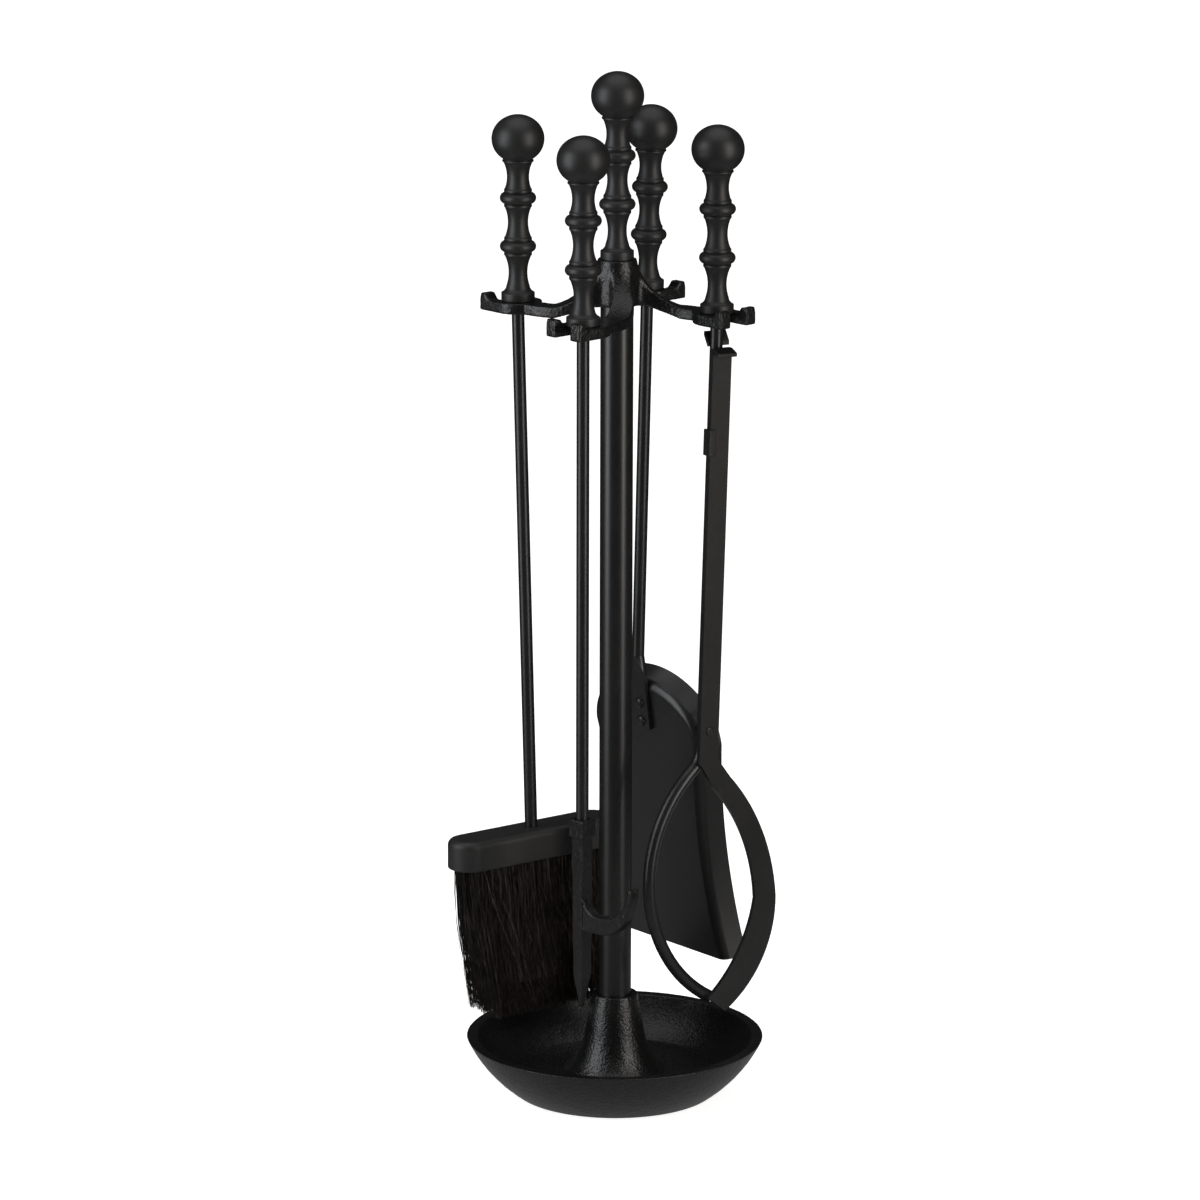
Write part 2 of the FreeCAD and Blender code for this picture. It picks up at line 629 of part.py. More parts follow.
def brush():
    x, y = hanging_place(2)
    level = S["hang_height"]
    ball_handle("brush_handle", S["rod_radius"] + S["slip_gap"], S["rod_grip"])
    place("brush_handle", (x, y, level))

    lean = math.tan(math.radians(S["brush_lean"].value))
    drop = level - S["brush_top"]
    shift = drop * lean
    lean_turn = S["brush_lean_turn"].value
    heading = math.radians(lean_turn)
    foot_x, foot_y = x + shift * math.cos(heading), y + shift * math.sin(heading)

    rod = new_part("brush_rod")
    straight = S["brush_straight"]
    path = new_sketch(rod, "brush_path", "XZ_Plane")
    socket = S["block_socket"]
    bottom = drop + socket
    foot = ((bottom - straight) * lean, -bottom)
    trace(path, [(0, S["rod_grip"]), (0, -straight), foot], closed=False)
    section = circles(rod, "brush_section", "XY_Plane", [(0, 0, S["rod_radius"])], S["rod_grip"])
    pipe(rod, section, path, "Round corner")
    place("brush_rod", (x, y, level), Rotation(UP, lean_turn))

    turn = Rotation(UP, S["block_turn"].value)

    def stadium(body, name, length, width, lift, middle=0):
        side, half = (length - width) / 2, width / 2
        near, far = middle - side, middle + side
        return outline(body, name, "XY_Plane", [
            (far, -half), (far, half, far + half, 0),
            (near, half), (near, -half, near - half, 0),
        ], lift)

    block = new_part("brush_block")
    plan = stadium(block, "block_plan", S["block_length"], S["block_width"], 0)
    extrude(block, "Pad", plan, S["block_height"], reversed_=True)
    soften(block, S["block_round"], lambda edge: at_height(edge, 0))
    hole = circles(block, "rod_hole", "XY_Plane", [(0, 0, S["rod_radius"] + 2 * S["slip_gap"])])
    extrude(block, "Pocket", hole, socket + S["slip_gap"])
    place("brush_block", (foot_x, foot_y, S["brush_top"]), turn)

    tuft = new_part("brush_bristles")
    under = -S["block_height"]
    length, width = S["block_length"] - 2 * S["bristle_margin"], S["block_width"] - 2 * S["bristle_inset"]
    loft(tuft, [
        stadium(tuft, "tuft_top", length, width, under),
        stadium(tuft, "tuft_foot", length - 2 * S["bristle_gather"], width + 2 * S["bristle_flare"],
                under - S["bristle_length"], S["bristle_sweep"]),
    ])
    place("brush_bristles", (foot_x, foot_y, S["brush_top"]), turn)


# ---------------------------------------------------------------- poker

def poker():
    x, y = hanging_place(3)
    y = y - S["poker_out"]
    level = S["hang_height"]
    ball_handle("poker_handle", S["rod_radius"] + S["slip_gap"], S["rod_grip"])
    place("poker_handle", (x, y, level))

    head_top = S["poker_collar_top"]
    socket = S["poker_socket"]
    rod = new_part("poker_rod")
    foot = head_top - socket - level
    section = circles(rod, "poker_section", "XY_Plane", [(0, 0, S["rod_radius"])], foot)
    extrude(rod, "Pad", section, S["rod_grip"] - foot)
    place("poker_rod", (x, y, level))

    head = new_part("poker_head")

    def square(name, side, height):
        half = side / 2
        return outline(head, name, "XY_Plane",
                       [(-half, -half), (half, -half), (half, half), (-half, half)], height)

    collar_foot = head_top - S["poker_collar_height"]
    plan = square("collar_plan", S["poker_collar_side"], collar_foot)
    extrude(head, "Pad", plan, S["poker_collar_height"])
    ends = (head_top.value, collar_foot.value)
    soften(head, S["poker_collar_round"], lambda edge: any(at_height(edge, z) for z in ends))
    loft(head, [square("shaft_top", S["poker_side"], collar_foot),
                square("shaft_waist", S["poker_waist_side"], S["poker_waist"])])
    loft(head, [square("point_top", S["poker_waist_side"], S["poker_waist"]),
                square("point_end", S["poker_tip_side"], S["poker_tip"])])
    reach, tip_z, root = S["hook_reach"], S["hook_root"] + S["hook_rise"], S["hook_root"]
    under, over = root - S["hook_depth"] / 2, root + S["hook_depth"] / 2 + S["hook_gusset"]
    hook = [
        (0, under), (reach * 0.4, under + 1),
        (reach, tip_z, reach * 0.86, root + S["hook_rise"] * 0.14),
        (reach - S["hook_point"], tip_z),
        (reach * 0.42, root + S["hook_rise"] * 0.17, reach * 0.76, root + S["hook_rise"] * 0.37),
        (S["poker_side"] / 2, over, reach * 0.22, root + S["hook_rise"] * 0.2),
        (0, over),
    ]
    extrude(head, "Pad", outline(head, "hook_side", "XZ_Plane", hook), S["hook_width"], symmetric=True)
    bore = circles(head, "rod_bore", "XY_Plane", [(0, 0, S["rod_radius"] + S["slip_gap"])], head_top)
    extrude(head, "Pocket", bore, socket)
    place("poker_head", (x, y, 0))


# ---------------------------------------------------------------- shovel

def shovel():
    x, y = hanging_place(1)
    spot = (x, y, S["hang_height"] + edge_rise("shovel_lean"))
    lean = Rotation(ALONG_Y, S["shovel_lean"].value)
    ball_handle("shovel_handle", S["rod_radius"] + S["slip_gap"], S["rod_grip"])
    place("shovel_handle", spot, lean)

    rod = new_part("shovel_rod")
    neck = S["strap_neck"]
    flat_top = S["strap_top"] - S["hang_height"]
    section = circles(rod, "shovel_section", "XY_Plane", [(0, 0, S["rod_radius"])], flat_top + neck)
    extrude(rod, "Pad", section, S["rod_grip"] - flat_top - neck)
    half_width, half_sheet = S["strap_width"] / 2, S["strap_thickness"] / 2
    half_round = S["rod_radius"] * math.sin(math.pi / 4)
    squeezed = [(-half_width, -half_sheet), (half_width, -half_sheet),
                (half_width, half_sheet), (-half_width, half_sheet)]
    round_ = S["rod_radius"]
    rounded = [(-half_round, -half_round, -round_, 0), (half_round, -half_round, 0, -round_),
               (half_round, half_round, round_, 0), (-half_round, half_round, 0, round_)]
    loft(rod, [outline(rod, "neck_top", "XY_Plane", rounded, flat_top + neck),
               outline(rod, "neck_foot", "XY_Plane", squeezed, flat_top)])
    tilt = math.radians(S["pan_tilt"].value)
    sine, cosine = math.sin(tilt), math.cos(tilt)
    length, thick = S["strap_length"], S["strap_thickness"]
    back, front = half_sheet, -half_sheet
    strap = [
        (front, flat_top), (back, flat_top),
        (back + length * sine, flat_top - length * cosine),
        (back + length * sine - thick * cosine, flat_top - length * cosine - thick * sine),
    ]
    side = outline(rod, "strap_side", "YZ_Plane", strap)
    extrude(rod, "Pad", side, S["strap_width"], symmetric=True)
    rivet_drops = [length - S["rivet_edge"] - S["rivet_pitch"] * i for i in (1, 0)]
    holes = [(0, -drop, S["rivet_radius"] + S["rivet_fit"]) for drop in rivet_drops]
    punched = circles(rod, "strap_holes", "XZ_Plane", holes)
    punched.AttachmentOffset = Placement(
        Vector(0, flat_top.value, -half_sheet.value), Rotation(Vector(1, 0, 0), S["pan_tilt"].value))
    punched.setExpression("AttachmentOffset.Base.z", (-half_sheet).text)
    punched.setExpression("AttachmentOffset.Base.y", flat_top.text)
    extrude(rod, "Pocket", punched, thick * 3, symmetric=True)
    place("shovel_rod", spot, lean)

    # The pan and its rivets are laid out from the upper end of the strap's back face.
    back_face = Rotation(Vector(1, 0, 0), S["pan_tilt"].value)
    hinge = Vector(0, half_sheet.value, flat_top.value)
    seat = lean.multVec(hinge)
    pan_spot = tuple(spot[i] + seat[i] for i in range(3))
    pan_turn = lean.multiply(back_face)

    blade = new_part("shovel_blade")
    top = -S["pan_top_gap"]
    lip = top - S["pan_length"]

    def arch(name, spread, depth, end):
        """The pan's outline at one depth: round top, slightly waisted sides, straight lip."""
        shoulder, waist, foot = (S[k] + spread for k in ("pan_shoulder", "pan_waist", "pan_lip"))
        crest = top + spread
        shoulder_z = top - S["pan_arch"]
        middle = (shoulder_z + lip) / 2
        rise = crest - shoulder_z
        side_x, side_z = shoulder * 0.8, shoulder_z + rise * 0.6
        half_x, half_z = shoulder * 0.955, shoulder_z + rise * 0.3
        corners = [
            (-foot, end, -waist, middle),
            (foot, end),
            (shoulder, shoulder_z, waist, middle),
            (side_x, side_z, half_x, half_z),
            (-side_x, side_z, 0, crest),
            (-shoulder, shoulder_z, -half_x, half_z),
        ]
        return outline(blade, name, "XZ_Plane", corners, -depth)

    depth, sheet_metal = S["pan_depth"], S["pan_sheet"]
    loft(blade, [arch("pan_back", 0, 0, lip), arch("pan_rim", S["flange_spread"], depth, lip)])
    past_lip = lip - 1
    loft(blade, [arch("hollow_back", -sheet_metal, sheet_metal, past_lip),
                 arch("hollow_rim", S["flange_spread"] - sheet_metal, depth, past_lip)], "SubtractiveLoft")
    soften(blade, S["pan_bend"] - sheet_metal, lambda edge: along_back(edge, sheet_metal.value, lip.value))
    soften(blade, S["pan_bend"], lambda edge: along_back(edge, 0, lip.value))
    punched = circles(blade, "rivet_holes", "XZ_Plane", holes, 0)
    extrude(blade, "Pocket", punched, sheet_metal * 3, symmetric=True)
    place("shovel_blade", pan_spot, pan_turn)

    rivets = new_part("shovel_rivets")
    rivets.AllowCompound = True
    for i, drop in enumerate(rivet_drops):
        rivet(rivets, "rivet_%d" % i, -drop, (-thick, sheet_metal), S["rivet_head"], S["rivet_dome"])
    place("shovel_rivets", pan_spot, pan_turn)


def rivet(body, name, height, stack, head, dome):
    """One rivet along Y through a stack of metal (front, back), with domed heads."""
    front, back = Size.of(stack[0]), Size.of(stack[1])
    section = circles(body, name + "_shank", "XZ_Plane", [(0, height, S["rivet_radius"])], -back)
    extrude(body, "Pad", section, back - front)
    for side, lift, turned in (("front", -front, False), ("back", -back, True)):
        ring = circles(body, "%s_%s" % (name, side), "XZ_Plane", [(0, height, head)], lift)
        body.Tip = extrude(body, "Pad", ring, dome, reversed_=turned)
        edge_y = (front - dome if side == "front" else back + dome).value
        soften(body, dome * 0.9, lambda edge: is_rim(edge, edge_y, height.value))


def is_rim(edge, y, z):
    """True for the circular edge in the plane y whose centre is at height z."""
    box = edge.BoundBox
    return abs(box.YMin - y) < 0.01 and abs(box.YMax - y) < 0.01 and abs(box.Center.z - z) < 0.01


# ---------------------------------------------------------------- tongs

def tongs():
    """Fixed jaw, lever and tabs in a frame with X across the jaws and Y away from the lever."""
    x, y = hanging_place(0)
    level = S["hang_height"]
    upright = Rotation(UP, S["tongs_turn"].value)
    ball_handle("tongs_handle", S["rod_radius"] + S["slip_gap"], S["rod_grip"])
    place("tongs_handle", (x, y, level), upright)

    # Under the kink the rod leans across the jaws, and everything below it leans with it.
    kink, half_bend = S["tongs_kink"], S["kink_half"]
    angle, heading = math.radians(S["tongs_lean"].value), math.radians(S["tongs_turn"].value)
    sine, cosine = math.sin(angle), math.cos(angle)
    shift = kink * sine
    spot = (x + shift * math.cos(heading), y + shift * math.sin(heading), level - kink * (1 - cosine))
    stance = upright.multiply(Rotation(ALONG_Y, S["tongs_lean"].value))

    def leaned(across, height):
        """Turn a point of the leaning frame about the kink into the upright one."""
        fall = height + kink
        return across * cosine + fall * sine, fall * cosine - across * sine - kink

    round_, face = S["rod_radius"], S["rod_radius"] + S["lever_gap"]
    outer_face = face + S["lever_thickness"]
    pivot = -S["pivot_drop"]

    rod = new_part("tongs_rod")
    path = new_sketch(rod, "tongs_path", "XZ_Plane")
    # A slight bend at the kink, then three tangent arcs: a small bend off the straight
    # rod, then the bow above and below its widest point.
    kink_radius = half_bend / math.tan(angle / 2)
    bend_top, bend_foot = (Size.of(0), half_bend - kink), leaned(Size.of(0), -kink - half_bend)
    bow, bend, widest = S["bow_reach"], S["bow_bend"], -S["bow_middle"]
    start = (Size.of(0), S["bow_start"] - S["jaw_top"])
    fall = start[1] - widest
    span = (bow * bow + fall * fall) / (2 * bow)
    upper_x = span - bend - bow
    joint = (bend * (span - bow) / span - bend, start[1] - bend * fall / span)
    side = (-bow, widest)
    end = (S["bow_tip"], S["jaw_overlap"] - S["jaw_end"])
    chord_x, chord_z = end[0] + bow, end[1] - widest
    lower_x = (chord_x * chord_x + chord_z * chord_z) / (2 * chord_x) - bow
    trace(path, [
        (0, S["rod_grip"]),
        bend_top,
        (*bend_foot, *arc_middle(-kink_radius, bend_top[1], bend_top, bend_foot)),
        leaned(*start),
        (*leaned(*joint), *leaned(*arc_middle(-bend, start[1], start, joint))),
        (*leaned(*side), *leaned(*arc_middle(upper_x, widest, joint, side))),
        (*leaned(*end), *leaned(*arc_middle(lower_x, widest, side, end))),
    ], closed=False)
    section = circles(rod, "tongs_section", "XY_Plane", [(0, 0, round_)], S["rod_grip"])
    pipe(rod, section, path)
    cross_hole = (*leaned(Size.of(0), pivot), S["rivet_radius"] + S["rivet_fit"])
    cross = circles(rod, "rod_cross_hole", "XZ_Plane", [cross_hole])
    extrude(rod, "Pocket", cross, round_ * 3, symmetric=True)
    place("tongs_rod", (x, y, level), upright)

    lever = new_part("tongs_lever")
    half = S["lever_width"] / 2
    reach, middle = S["jaw_reach"], -S["jaw_middle"]
    inner_reach = reach - S["jaw_width"]
    out_x, out_z = half + 12, -S["jaw_top"] - 12
    in_x, in_z = half * 0.9, -S["jaw_top"] - 22
    tip_x, tip_z = S["tip_reach"], -S["jaw_end"]
    cut_x, cut_z = tip_x - S["jaw_tip_width"] * 0.8, tip_z + S["jaw_tip_width"] * 0.6
    blank = [
        (-half, -S["lever_top"]),
        (half, -S["lever_top"]),
        (half, -S["jaw_top"] + 3),
        (out_x, out_z),
        (reach, middle, reach * 0.809, out_z * 0.49 + middle * 0.51),
        (tip_x, tip_z, reach * 0.86, (middle + tip_z) / 2 - 4),
        (cut_x, cut_z),
        (inner_reach, middle, inner_reach * 0.72, (middle + cut_z) / 2 - 4),
        (in_x, in_z, inner_reach * 0.8, in_z * 0.46 + middle * 0.54),
        (-half, -S["jaw_top"] + 2),
    ]
    flat = outline(lever, "lever_blank", "XZ_Plane", blank, face)
    extrude(lever, "Pad", flat, S["lever_thickness"])
    bore = S["rivet_radius"] + S["pivot_play"]
    hole = circles(lever, "pivot_hole", "XZ_Plane", [(0, pivot, bore)], face)
    extrude(lever, "Pocket", hole, S["lever_thickness"] * 3, symmetric=True)
    place("tongs_lever", spot, stance)

    pin_ = new_part("tongs_pivot_rivet")
    ease = S["pivot_ease"]
    rivet(pin_, "pivot", pivot, (-outer_face - ease, round_ + ease), S["pivot_head"], S["pivot_dome"])
    place("tongs_pivot_rivet", spot, stance)

    slope = math.tan(math.radians(S["tab_slope"].value))
    length, thick, drop = S["tab_length"], S["tab_thickness"], S["finger_tab_drop"]
    finger = new_part("tongs_finger_tab")
    root = round_ * 0.4
    end = root + S["finger_tab_length"]
    rise = S["finger_tab_length"] * math.tan(math.radians(S["finger_tab_slope"].value))
    side = [(root, -drop), (end, -drop + rise), (end, -drop + rise + thick), (root, -drop + thick)]
    plate = outline(finger, "finger_side", "YZ_Plane", side, S["finger_tab_shift"])
    extrude(finger, "Pad", plate, S["finger_tab_width"], symmetric=True)
    saddle = circles(finger, "rod_saddle", "XY_Plane", [(0, 0, round_)], 0)
    extrude(finger, "Pocket", saddle, drop * 2)
    place("tongs_finger_tab", spot, stance)

    thumb = new_part("tongs_thumb_tab")
    seat = -S["lever_top"]
    near, far = -outer_face, -outer_face - length
    side = [
        (-face, seat), (-face, seat + thick), (near, seat + thick),
        (far, seat + thick - length * slope), (far, seat - length * slope), (near, seat),
    ]
    plate = outline(thumb, "thumb_side", "YZ_Plane", side)
    extrude(thumb, "Pad", plate, S["tab_width"], symmetric=True)
    place("tongs_thumb_tab", spot, stance)

    clip = new_part("tongs_guide_clip")
    skin, height = S["clip_sheet"], S["clip_height"]
    front = -outer_face - skin
    leg, heel = -half + S["clip_leg"], front + S["clip_side"]
    angle = [
        (-half - skin, front), (leg, front), (leg, -outer_face),
        (-half, -outer_face), (-half, heel), (-half - skin, heel),
    ]
    section = outline(clip, "clip_section", "XY_Plane", angle, -S["clip_drop"] - height / 2)
    extrude(clip, "Pad", section, height)
    place("tongs_guide_clip", spot, stance)


for build in (base_bowl, post_tube, hook_crown, tie_rod, base_washer, base_nut):
    build()
ball_handle("post_handle", S["tie_radius"], S["tie_grip"] + S["tie_spare"])
place("post_handle", (0, 0, S["crown_top"]))
brush()
poker()
shovel()
tongs()


# ---------------------------------------------------------------- checks and files

doc.recompute()
faults = []
for item in doc.Objects:
    if "Invalid" in item.State or "Error" in item.State:
        faults.append("%s: %s" % (item.Name, item.State))
for name, body in parts.items():
    shape = body.Shape
    if shape.isNull() or not shape.isValid() or not shape.Solids:
        faults.append("%s has no valid solid" % name)
if faults:
    raise RuntimeError("; ".join(faults))

os.makedirs("parts", exist_ok=True)
for name, body in parts.items():
    body.Shape.exportStep("parts/%s.step" % name)
    print("%-18s %2d solid(s) %10.1f mm3" % (name, len(body.Shape.Solids), body.Shape.Volume))
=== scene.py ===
"""Fireplace tool set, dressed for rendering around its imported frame.

A dish base with a post and a cast crown carries a brush, a poker, a shovel and a pair of
tongs. Each sub-assembly is a class: its fields are sizes in millimetres, and its build
method makes the meshes, dresses them and hands them to the frame.
"""

import logging
import math
import random
from dataclasses import dataclass
from enum import Enum
from typing import Callable, Optional, Sequence, Union

import bmesh
import bpy
from mathutils import Matrix, Vector, noise


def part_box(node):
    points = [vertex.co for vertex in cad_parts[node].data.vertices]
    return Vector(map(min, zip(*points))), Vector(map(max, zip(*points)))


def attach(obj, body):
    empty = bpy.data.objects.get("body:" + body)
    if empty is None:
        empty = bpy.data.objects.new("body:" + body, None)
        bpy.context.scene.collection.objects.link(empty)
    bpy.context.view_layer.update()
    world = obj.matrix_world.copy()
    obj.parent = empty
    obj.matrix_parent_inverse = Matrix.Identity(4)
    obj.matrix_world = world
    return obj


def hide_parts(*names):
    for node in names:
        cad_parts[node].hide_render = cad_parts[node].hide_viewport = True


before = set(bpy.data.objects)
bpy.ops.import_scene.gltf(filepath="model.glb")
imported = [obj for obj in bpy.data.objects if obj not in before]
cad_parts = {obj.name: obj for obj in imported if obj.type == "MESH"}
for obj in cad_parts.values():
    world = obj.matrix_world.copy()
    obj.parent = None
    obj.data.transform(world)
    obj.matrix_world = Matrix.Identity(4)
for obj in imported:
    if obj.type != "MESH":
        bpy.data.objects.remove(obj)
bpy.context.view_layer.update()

LOG = logging.getLogger("fireplace_tools")
MM = 0.001
Point = tuple[float, float]
Colour = tuple[float, float, float]


# ---------------------------------------------------------------- shader tools

class Level:
    """A number that flows through a shader; Python operators add its Math nodes."""

    def __init__(self, shader: "Shader", socket: bpy.types.NodeSocket) -> None:
        """Wrap one output socket of a shader."""
        self.shader = shader
        self.socket = socket

    def _math(self, operation: str, left: object, right: object) -> "Level":
        """Add one Math node on two values or links."""
        return self.shader.node("ShaderNodeMath", {"operation": operation}, {0: left, 1: right})

    def __add__(self, other: object) -> "Level":
        """Add."""
        return self._math("ADD", self, other)

    def __mul__(self, other: object) -> "Level":
        """Multiply."""
        return self._math("MULTIPLY", self, other)

    __radd__ = __add__
    __rmul__ = __mul__

    def above(self, edge: float, width: float) -> "Level":
        """Rise from 0 to 1 as the number passes edge, over the given width."""
        settings = {"interpolation_type": "SMOOTHSTEP"}
        return self.shader.node("ShaderNodeMapRange", settings,
                                {"Value": self, "From Min": edge, "From Max": edge + width})


class Shader:
    """A material under construction, around one Principled shader."""

    def __init__(self, name: str) -> None:
        """Start a material with an empty Principled shader.

        Args:
            name: the material's name.
        """
        self.material = bpy.data.materials.new(name)
        self.material.use_nodes = True
        self.tree = self.material.node_tree
        self.surface = self.tree.nodes["Principled BSDF"]

    def node(self, kind: str, settings: Optional[dict] = None, inputs: Optional[dict] = None,
             output: Union[int, str] = 0) -> Level:
        """Add one node.

        Args:
            kind: the node's type.
            settings: properties, set before the sockets.
            inputs: values or links by socket name or number.
            output: the socket to hand back.

        Returns:
            The wrapped output.
        """
        made = self.tree.nodes.new(kind)
        for key, value in (settings or {}).items():
            setattr(made, key, value)
        for key, value in (inputs or {}).items():
            self.feed(made.inputs[key], value)
        return Level(self, made.outputs[output])

    def feed(self, socket: bpy.types.NodeSocket, value: object) -> None:
        """Link or set one input socket."""
        if isinstance(value, Level):
            self.tree.links.new(value.socket, socket)
        else:
            socket.default_value = value

    def place(self, stretch: Colour = (1.0, 1.0, 1.0)) -> Level:
        """Give the object's own coordinates, stretched along each axis."""
        spot = self.node("ShaderNodeTexCoord", output="Object")
        return self.node("ShaderNodeMapping", None, {"Vector": spot, "Scale": stretch})

    def cloud(self, grain: float, detail: float = 2.0, stretch: Colour = (1.0, 1.0, 1.0)) -> Level:
        """Noise from 0 to 1 whose features are about grain millimetres across."""
        return self.node("ShaderNodeTexNoise", None,
                         {"Vector": self.place(stretch), "Scale": 1 / (grain * MM), "Detail": detail})

    def cells(self, grain: float) -> Level:
        """Distance to the nearest of scattered points about grain millimetres apart."""
        settings = {"feature": "SMOOTH_F1"}
        return self.node("ShaderNodeTexVoronoi", settings,
                         {"Vector": self.place(), "Scale": 1 / (grain * MM)})

    def blend(self, factor: Level, first: Colour, second: Colour) -> Level:
        """Mix two colours."""
        settings = {"data_type": "RGBA"}
        return self.node("ShaderNodeMix", settings,
                         {0: factor, 6: (*first, 1.0), 7: (*second, 1.0)}, output=2)

    def relief(self, height: Level, depth: float) -> None:
        """Bump the surface by a height from 0 to 1 that stands for depth millimetres."""
        bump = self.node("ShaderNodeBump", None,
                         {"Height": height, "Distance": depth * MM, "Strength": 1.0})
        self.feed(self.surface.inputs["Normal"], bump)

    def dress(self, **inputs: object) -> None:
        """Set the Principled shader's inputs; an underscore stands for a space."""
        for key, value in inputs.items():
            self.feed(self.surface.inputs[key.replace("_", " ")], value)


@dataclass(frozen=True)
class Coating:
    """A black coating over metal or wood: tone, gloss, texture and light scuffs."""

    name: str
    slot: str
    tone: Colour
    bloom: Colour
    gloss: float
    gloss_span: float
    pebble: float
    pebble_depth: float
    peel: float
    peel_depth: float
    scuffs: float
    shine: float = 0.5

    def material(self) -> bpy.types.Material:
        """Build the coating's material."""
        shader = Shader(self.name)
        drift = shader.cloud(38, 3)
        mottle = shader.cloud(5, 2)
        lumps = shader.cloud(self.pebble, 3)
        pits = shader.cells(self.pebble * 1.4)
        skin = shader.cloud(self.peel, 2)
        streak = shader.cloud(2.2, 4, (1.0, 1.0, 0.12))
        scuffed = (streak.above(0.66, 0.05) * drift.above(0.5, 0.2)) * self.scuffs
        dusted = drift * 0.6 + mottle * 0.4
        tone = shader.blend(dusted.above(0.32, 0.4), self.tone, self.bloom)
        shader.feed(shader.surface.inputs["Base Color"], tone)
        rough = (self.gloss - self.gloss_span / 2) + dusted * self.gloss_span
        shader.dress(Roughness=rough + scuffed * 0.25, Specular_IOR_Level=self.shine)
        height = lumps * self.pebble_depth + pits * (self.pebble_depth * 0.6) + skin * self.peel_depth
        shader.relief(height, 1.0)
        return shader.material


@dataclass(frozen=True)
class Fibre:
    """Stiff dark brush fibre, lighter and browner from hair to hair."""

    name: str = "dark_fibre"
    slot: str = "bristle_dark"
    dark: Colour = (0.0022, 0.0018, 0.0015)
    brown: Colour = (0.036, 0.026, 0.019)
    gloss: float = 0.42

    def material(self) -> bpy.types.Material:
        """Build the fibre's material."""
        shader = Shader(self.name)
        hair = shader.cloud(1.1, 1, (1.0, 1.0, 0.03))
        length = shader.cloud(22, 2)
        tone = shader.blend((hair * 0.8 + length * 0.2).above(0.42, 0.3), self.dark, self.brown)
        shader.feed(shader.surface.inputs["Base Color"], tone)
        shader.dress(Roughness=self.gloss + length * 0.15, Specular_IOR_Level=0.25)
        shader.relief(hair, 0.05)
        return shader.material


@dataclass(frozen=True)
class Zinc:
    """Zinc-plated steel with a fine spangle."""

    name: str = "zinc_plate"
    slot: str = "zinc_steel"
    tone: Colour = (0.42, 0.43, 0.45)
    bloom: Colour = (0.58, 0.59, 0.60)

    def material(self) -> bpy.types.Material:
        """Build the plating's material."""
        shader = Shader(self.name)
        spangle = shader.cells(2.5)
        fine = shader.cloud(0.8, 3)
        tone = shader.blend(spangle, self.tone, self.bloom)
        shader.feed(shader.surface.inputs["Base Color"], tone)
        shader.dress(Metallic=1.0, Roughness=0.32 + fine * 0.2)
        shader.relief(fine, 0.03)
        return shader.material


class Finish(Enum):
    """The finishes of the set."""

    CAST = Coating("sand_cast_black", "cast_black", (0.0038, 0.0038, 0.0039), (0.0062, 0.0061, 0.0060),
                   0.28, 0.12, 1.4, 0.34, 0.5, 0.03, 0.15, 0.45)
    FORGED = Coating("rough_forged_black", "cast_black", (0.0038, 0.0038, 0.0038), (0.0066, 0.0064, 0.0062),
                     0.30, 0.14, 1.5, 0.22, 0.6, 0.04, 0.3, 0.36)
    SATIN = Coating("satin_steel_black", "smooth_black", (0.0055, 0.0055, 0.0056), (0.0080, 0.0079, 0.0078),
                    0.33, 0.07, 9.0, 0.02, 0.5, 0.006, 0.4, 0.5)
    TURNED = Coating("turned_handle_black", "handle_black", (0.0068, 0.0068, 0.0069),
                     (0.0092, 0.0091, 0.0090), 0.47, 0.08, 6.0, 0.02, 0.35, 0.009, 0.3, 0.5)
    LACQUER = Coating("block_lacquer_black", "block_black", (0.0098, 0.0097, 0.0096),
                      (0.0132, 0.0131, 0.0129), 0.50, 0.08, 7.0, 0.03, 0.4, 0.010, 0.3, 0.4)
    FIBRE = Fibre()
    STRAY = Fibre("pale_fibre", "bristle_dark", (0.030, 0.023, 0.018), (0.105, 0.080, 0.060))
    ZINC = Zinc()

    def material(self) -> bpy.types.Material:
        """Give the finish's material, made the first time it is asked for."""
        return bpy.data.materials.get(self.value.name) or self.value.material()


# ---------------------------------------------------------------- mesh tools

def through(start: Point, middle: Point, end: Point, step: float = 1.2) -> list[Point]:
    """Points after start on the arc through three points.

    Args:
        start: where the arc leaves from.
        middle: a point that it passes through.
        end: where it arrives.
        step: longest chord.

    Returns:
        The points, ending with end.
    """
    (ax, ay), (bx, by), (cx, cy) = start, middle, end
    twice = 2 * (ax * (by - cy) + bx * (cy - ay) + cx * (ay - by))
    if abs(twice) < 1e-9:
        return [end]
    a, b, c = ax * ax + ay * ay, bx * bx + by * by, cx * cx + cy * cy
    x = (a * (by - cy) + b * (cy - ay) + c * (ay - by)) / twice
    y = (a * (cx - bx) + b * (ax - cx) + c * (bx - ax)) / twice
    radius = math.hypot(ax - x, ay - y)
    first, mid, last = (math.atan2(q - y, p - x) for p, q in (start, middle, end))
    sweep = (last - first) % math.tau
    if (mid - first) % math.tau > sweep:
        sweep -= math.tau
    count = max(4, math.ceil(abs(sweep) * radius / step))
    angles = [first + sweep * i / count for i in range(1, count + 1)]
    return [(x + radius * math.cos(angle), y + radius * math.sin(angle)) for angle in angles]


def polyline(corners: Sequence[tuple[float, ...]], step: float = 1.2) -> list[Point]:
    """Turn corners into points; a corner (x, y, mid_x, mid_y) is reached by an arc."""
    points: list[Point] = [corners[0][:2]]
    for corner in corners[1:]:
        if len(corner) == 2:
            points.append(corner)
        else:
            points += through(points[-1], corner[2:], corner[:2], step)
    return points


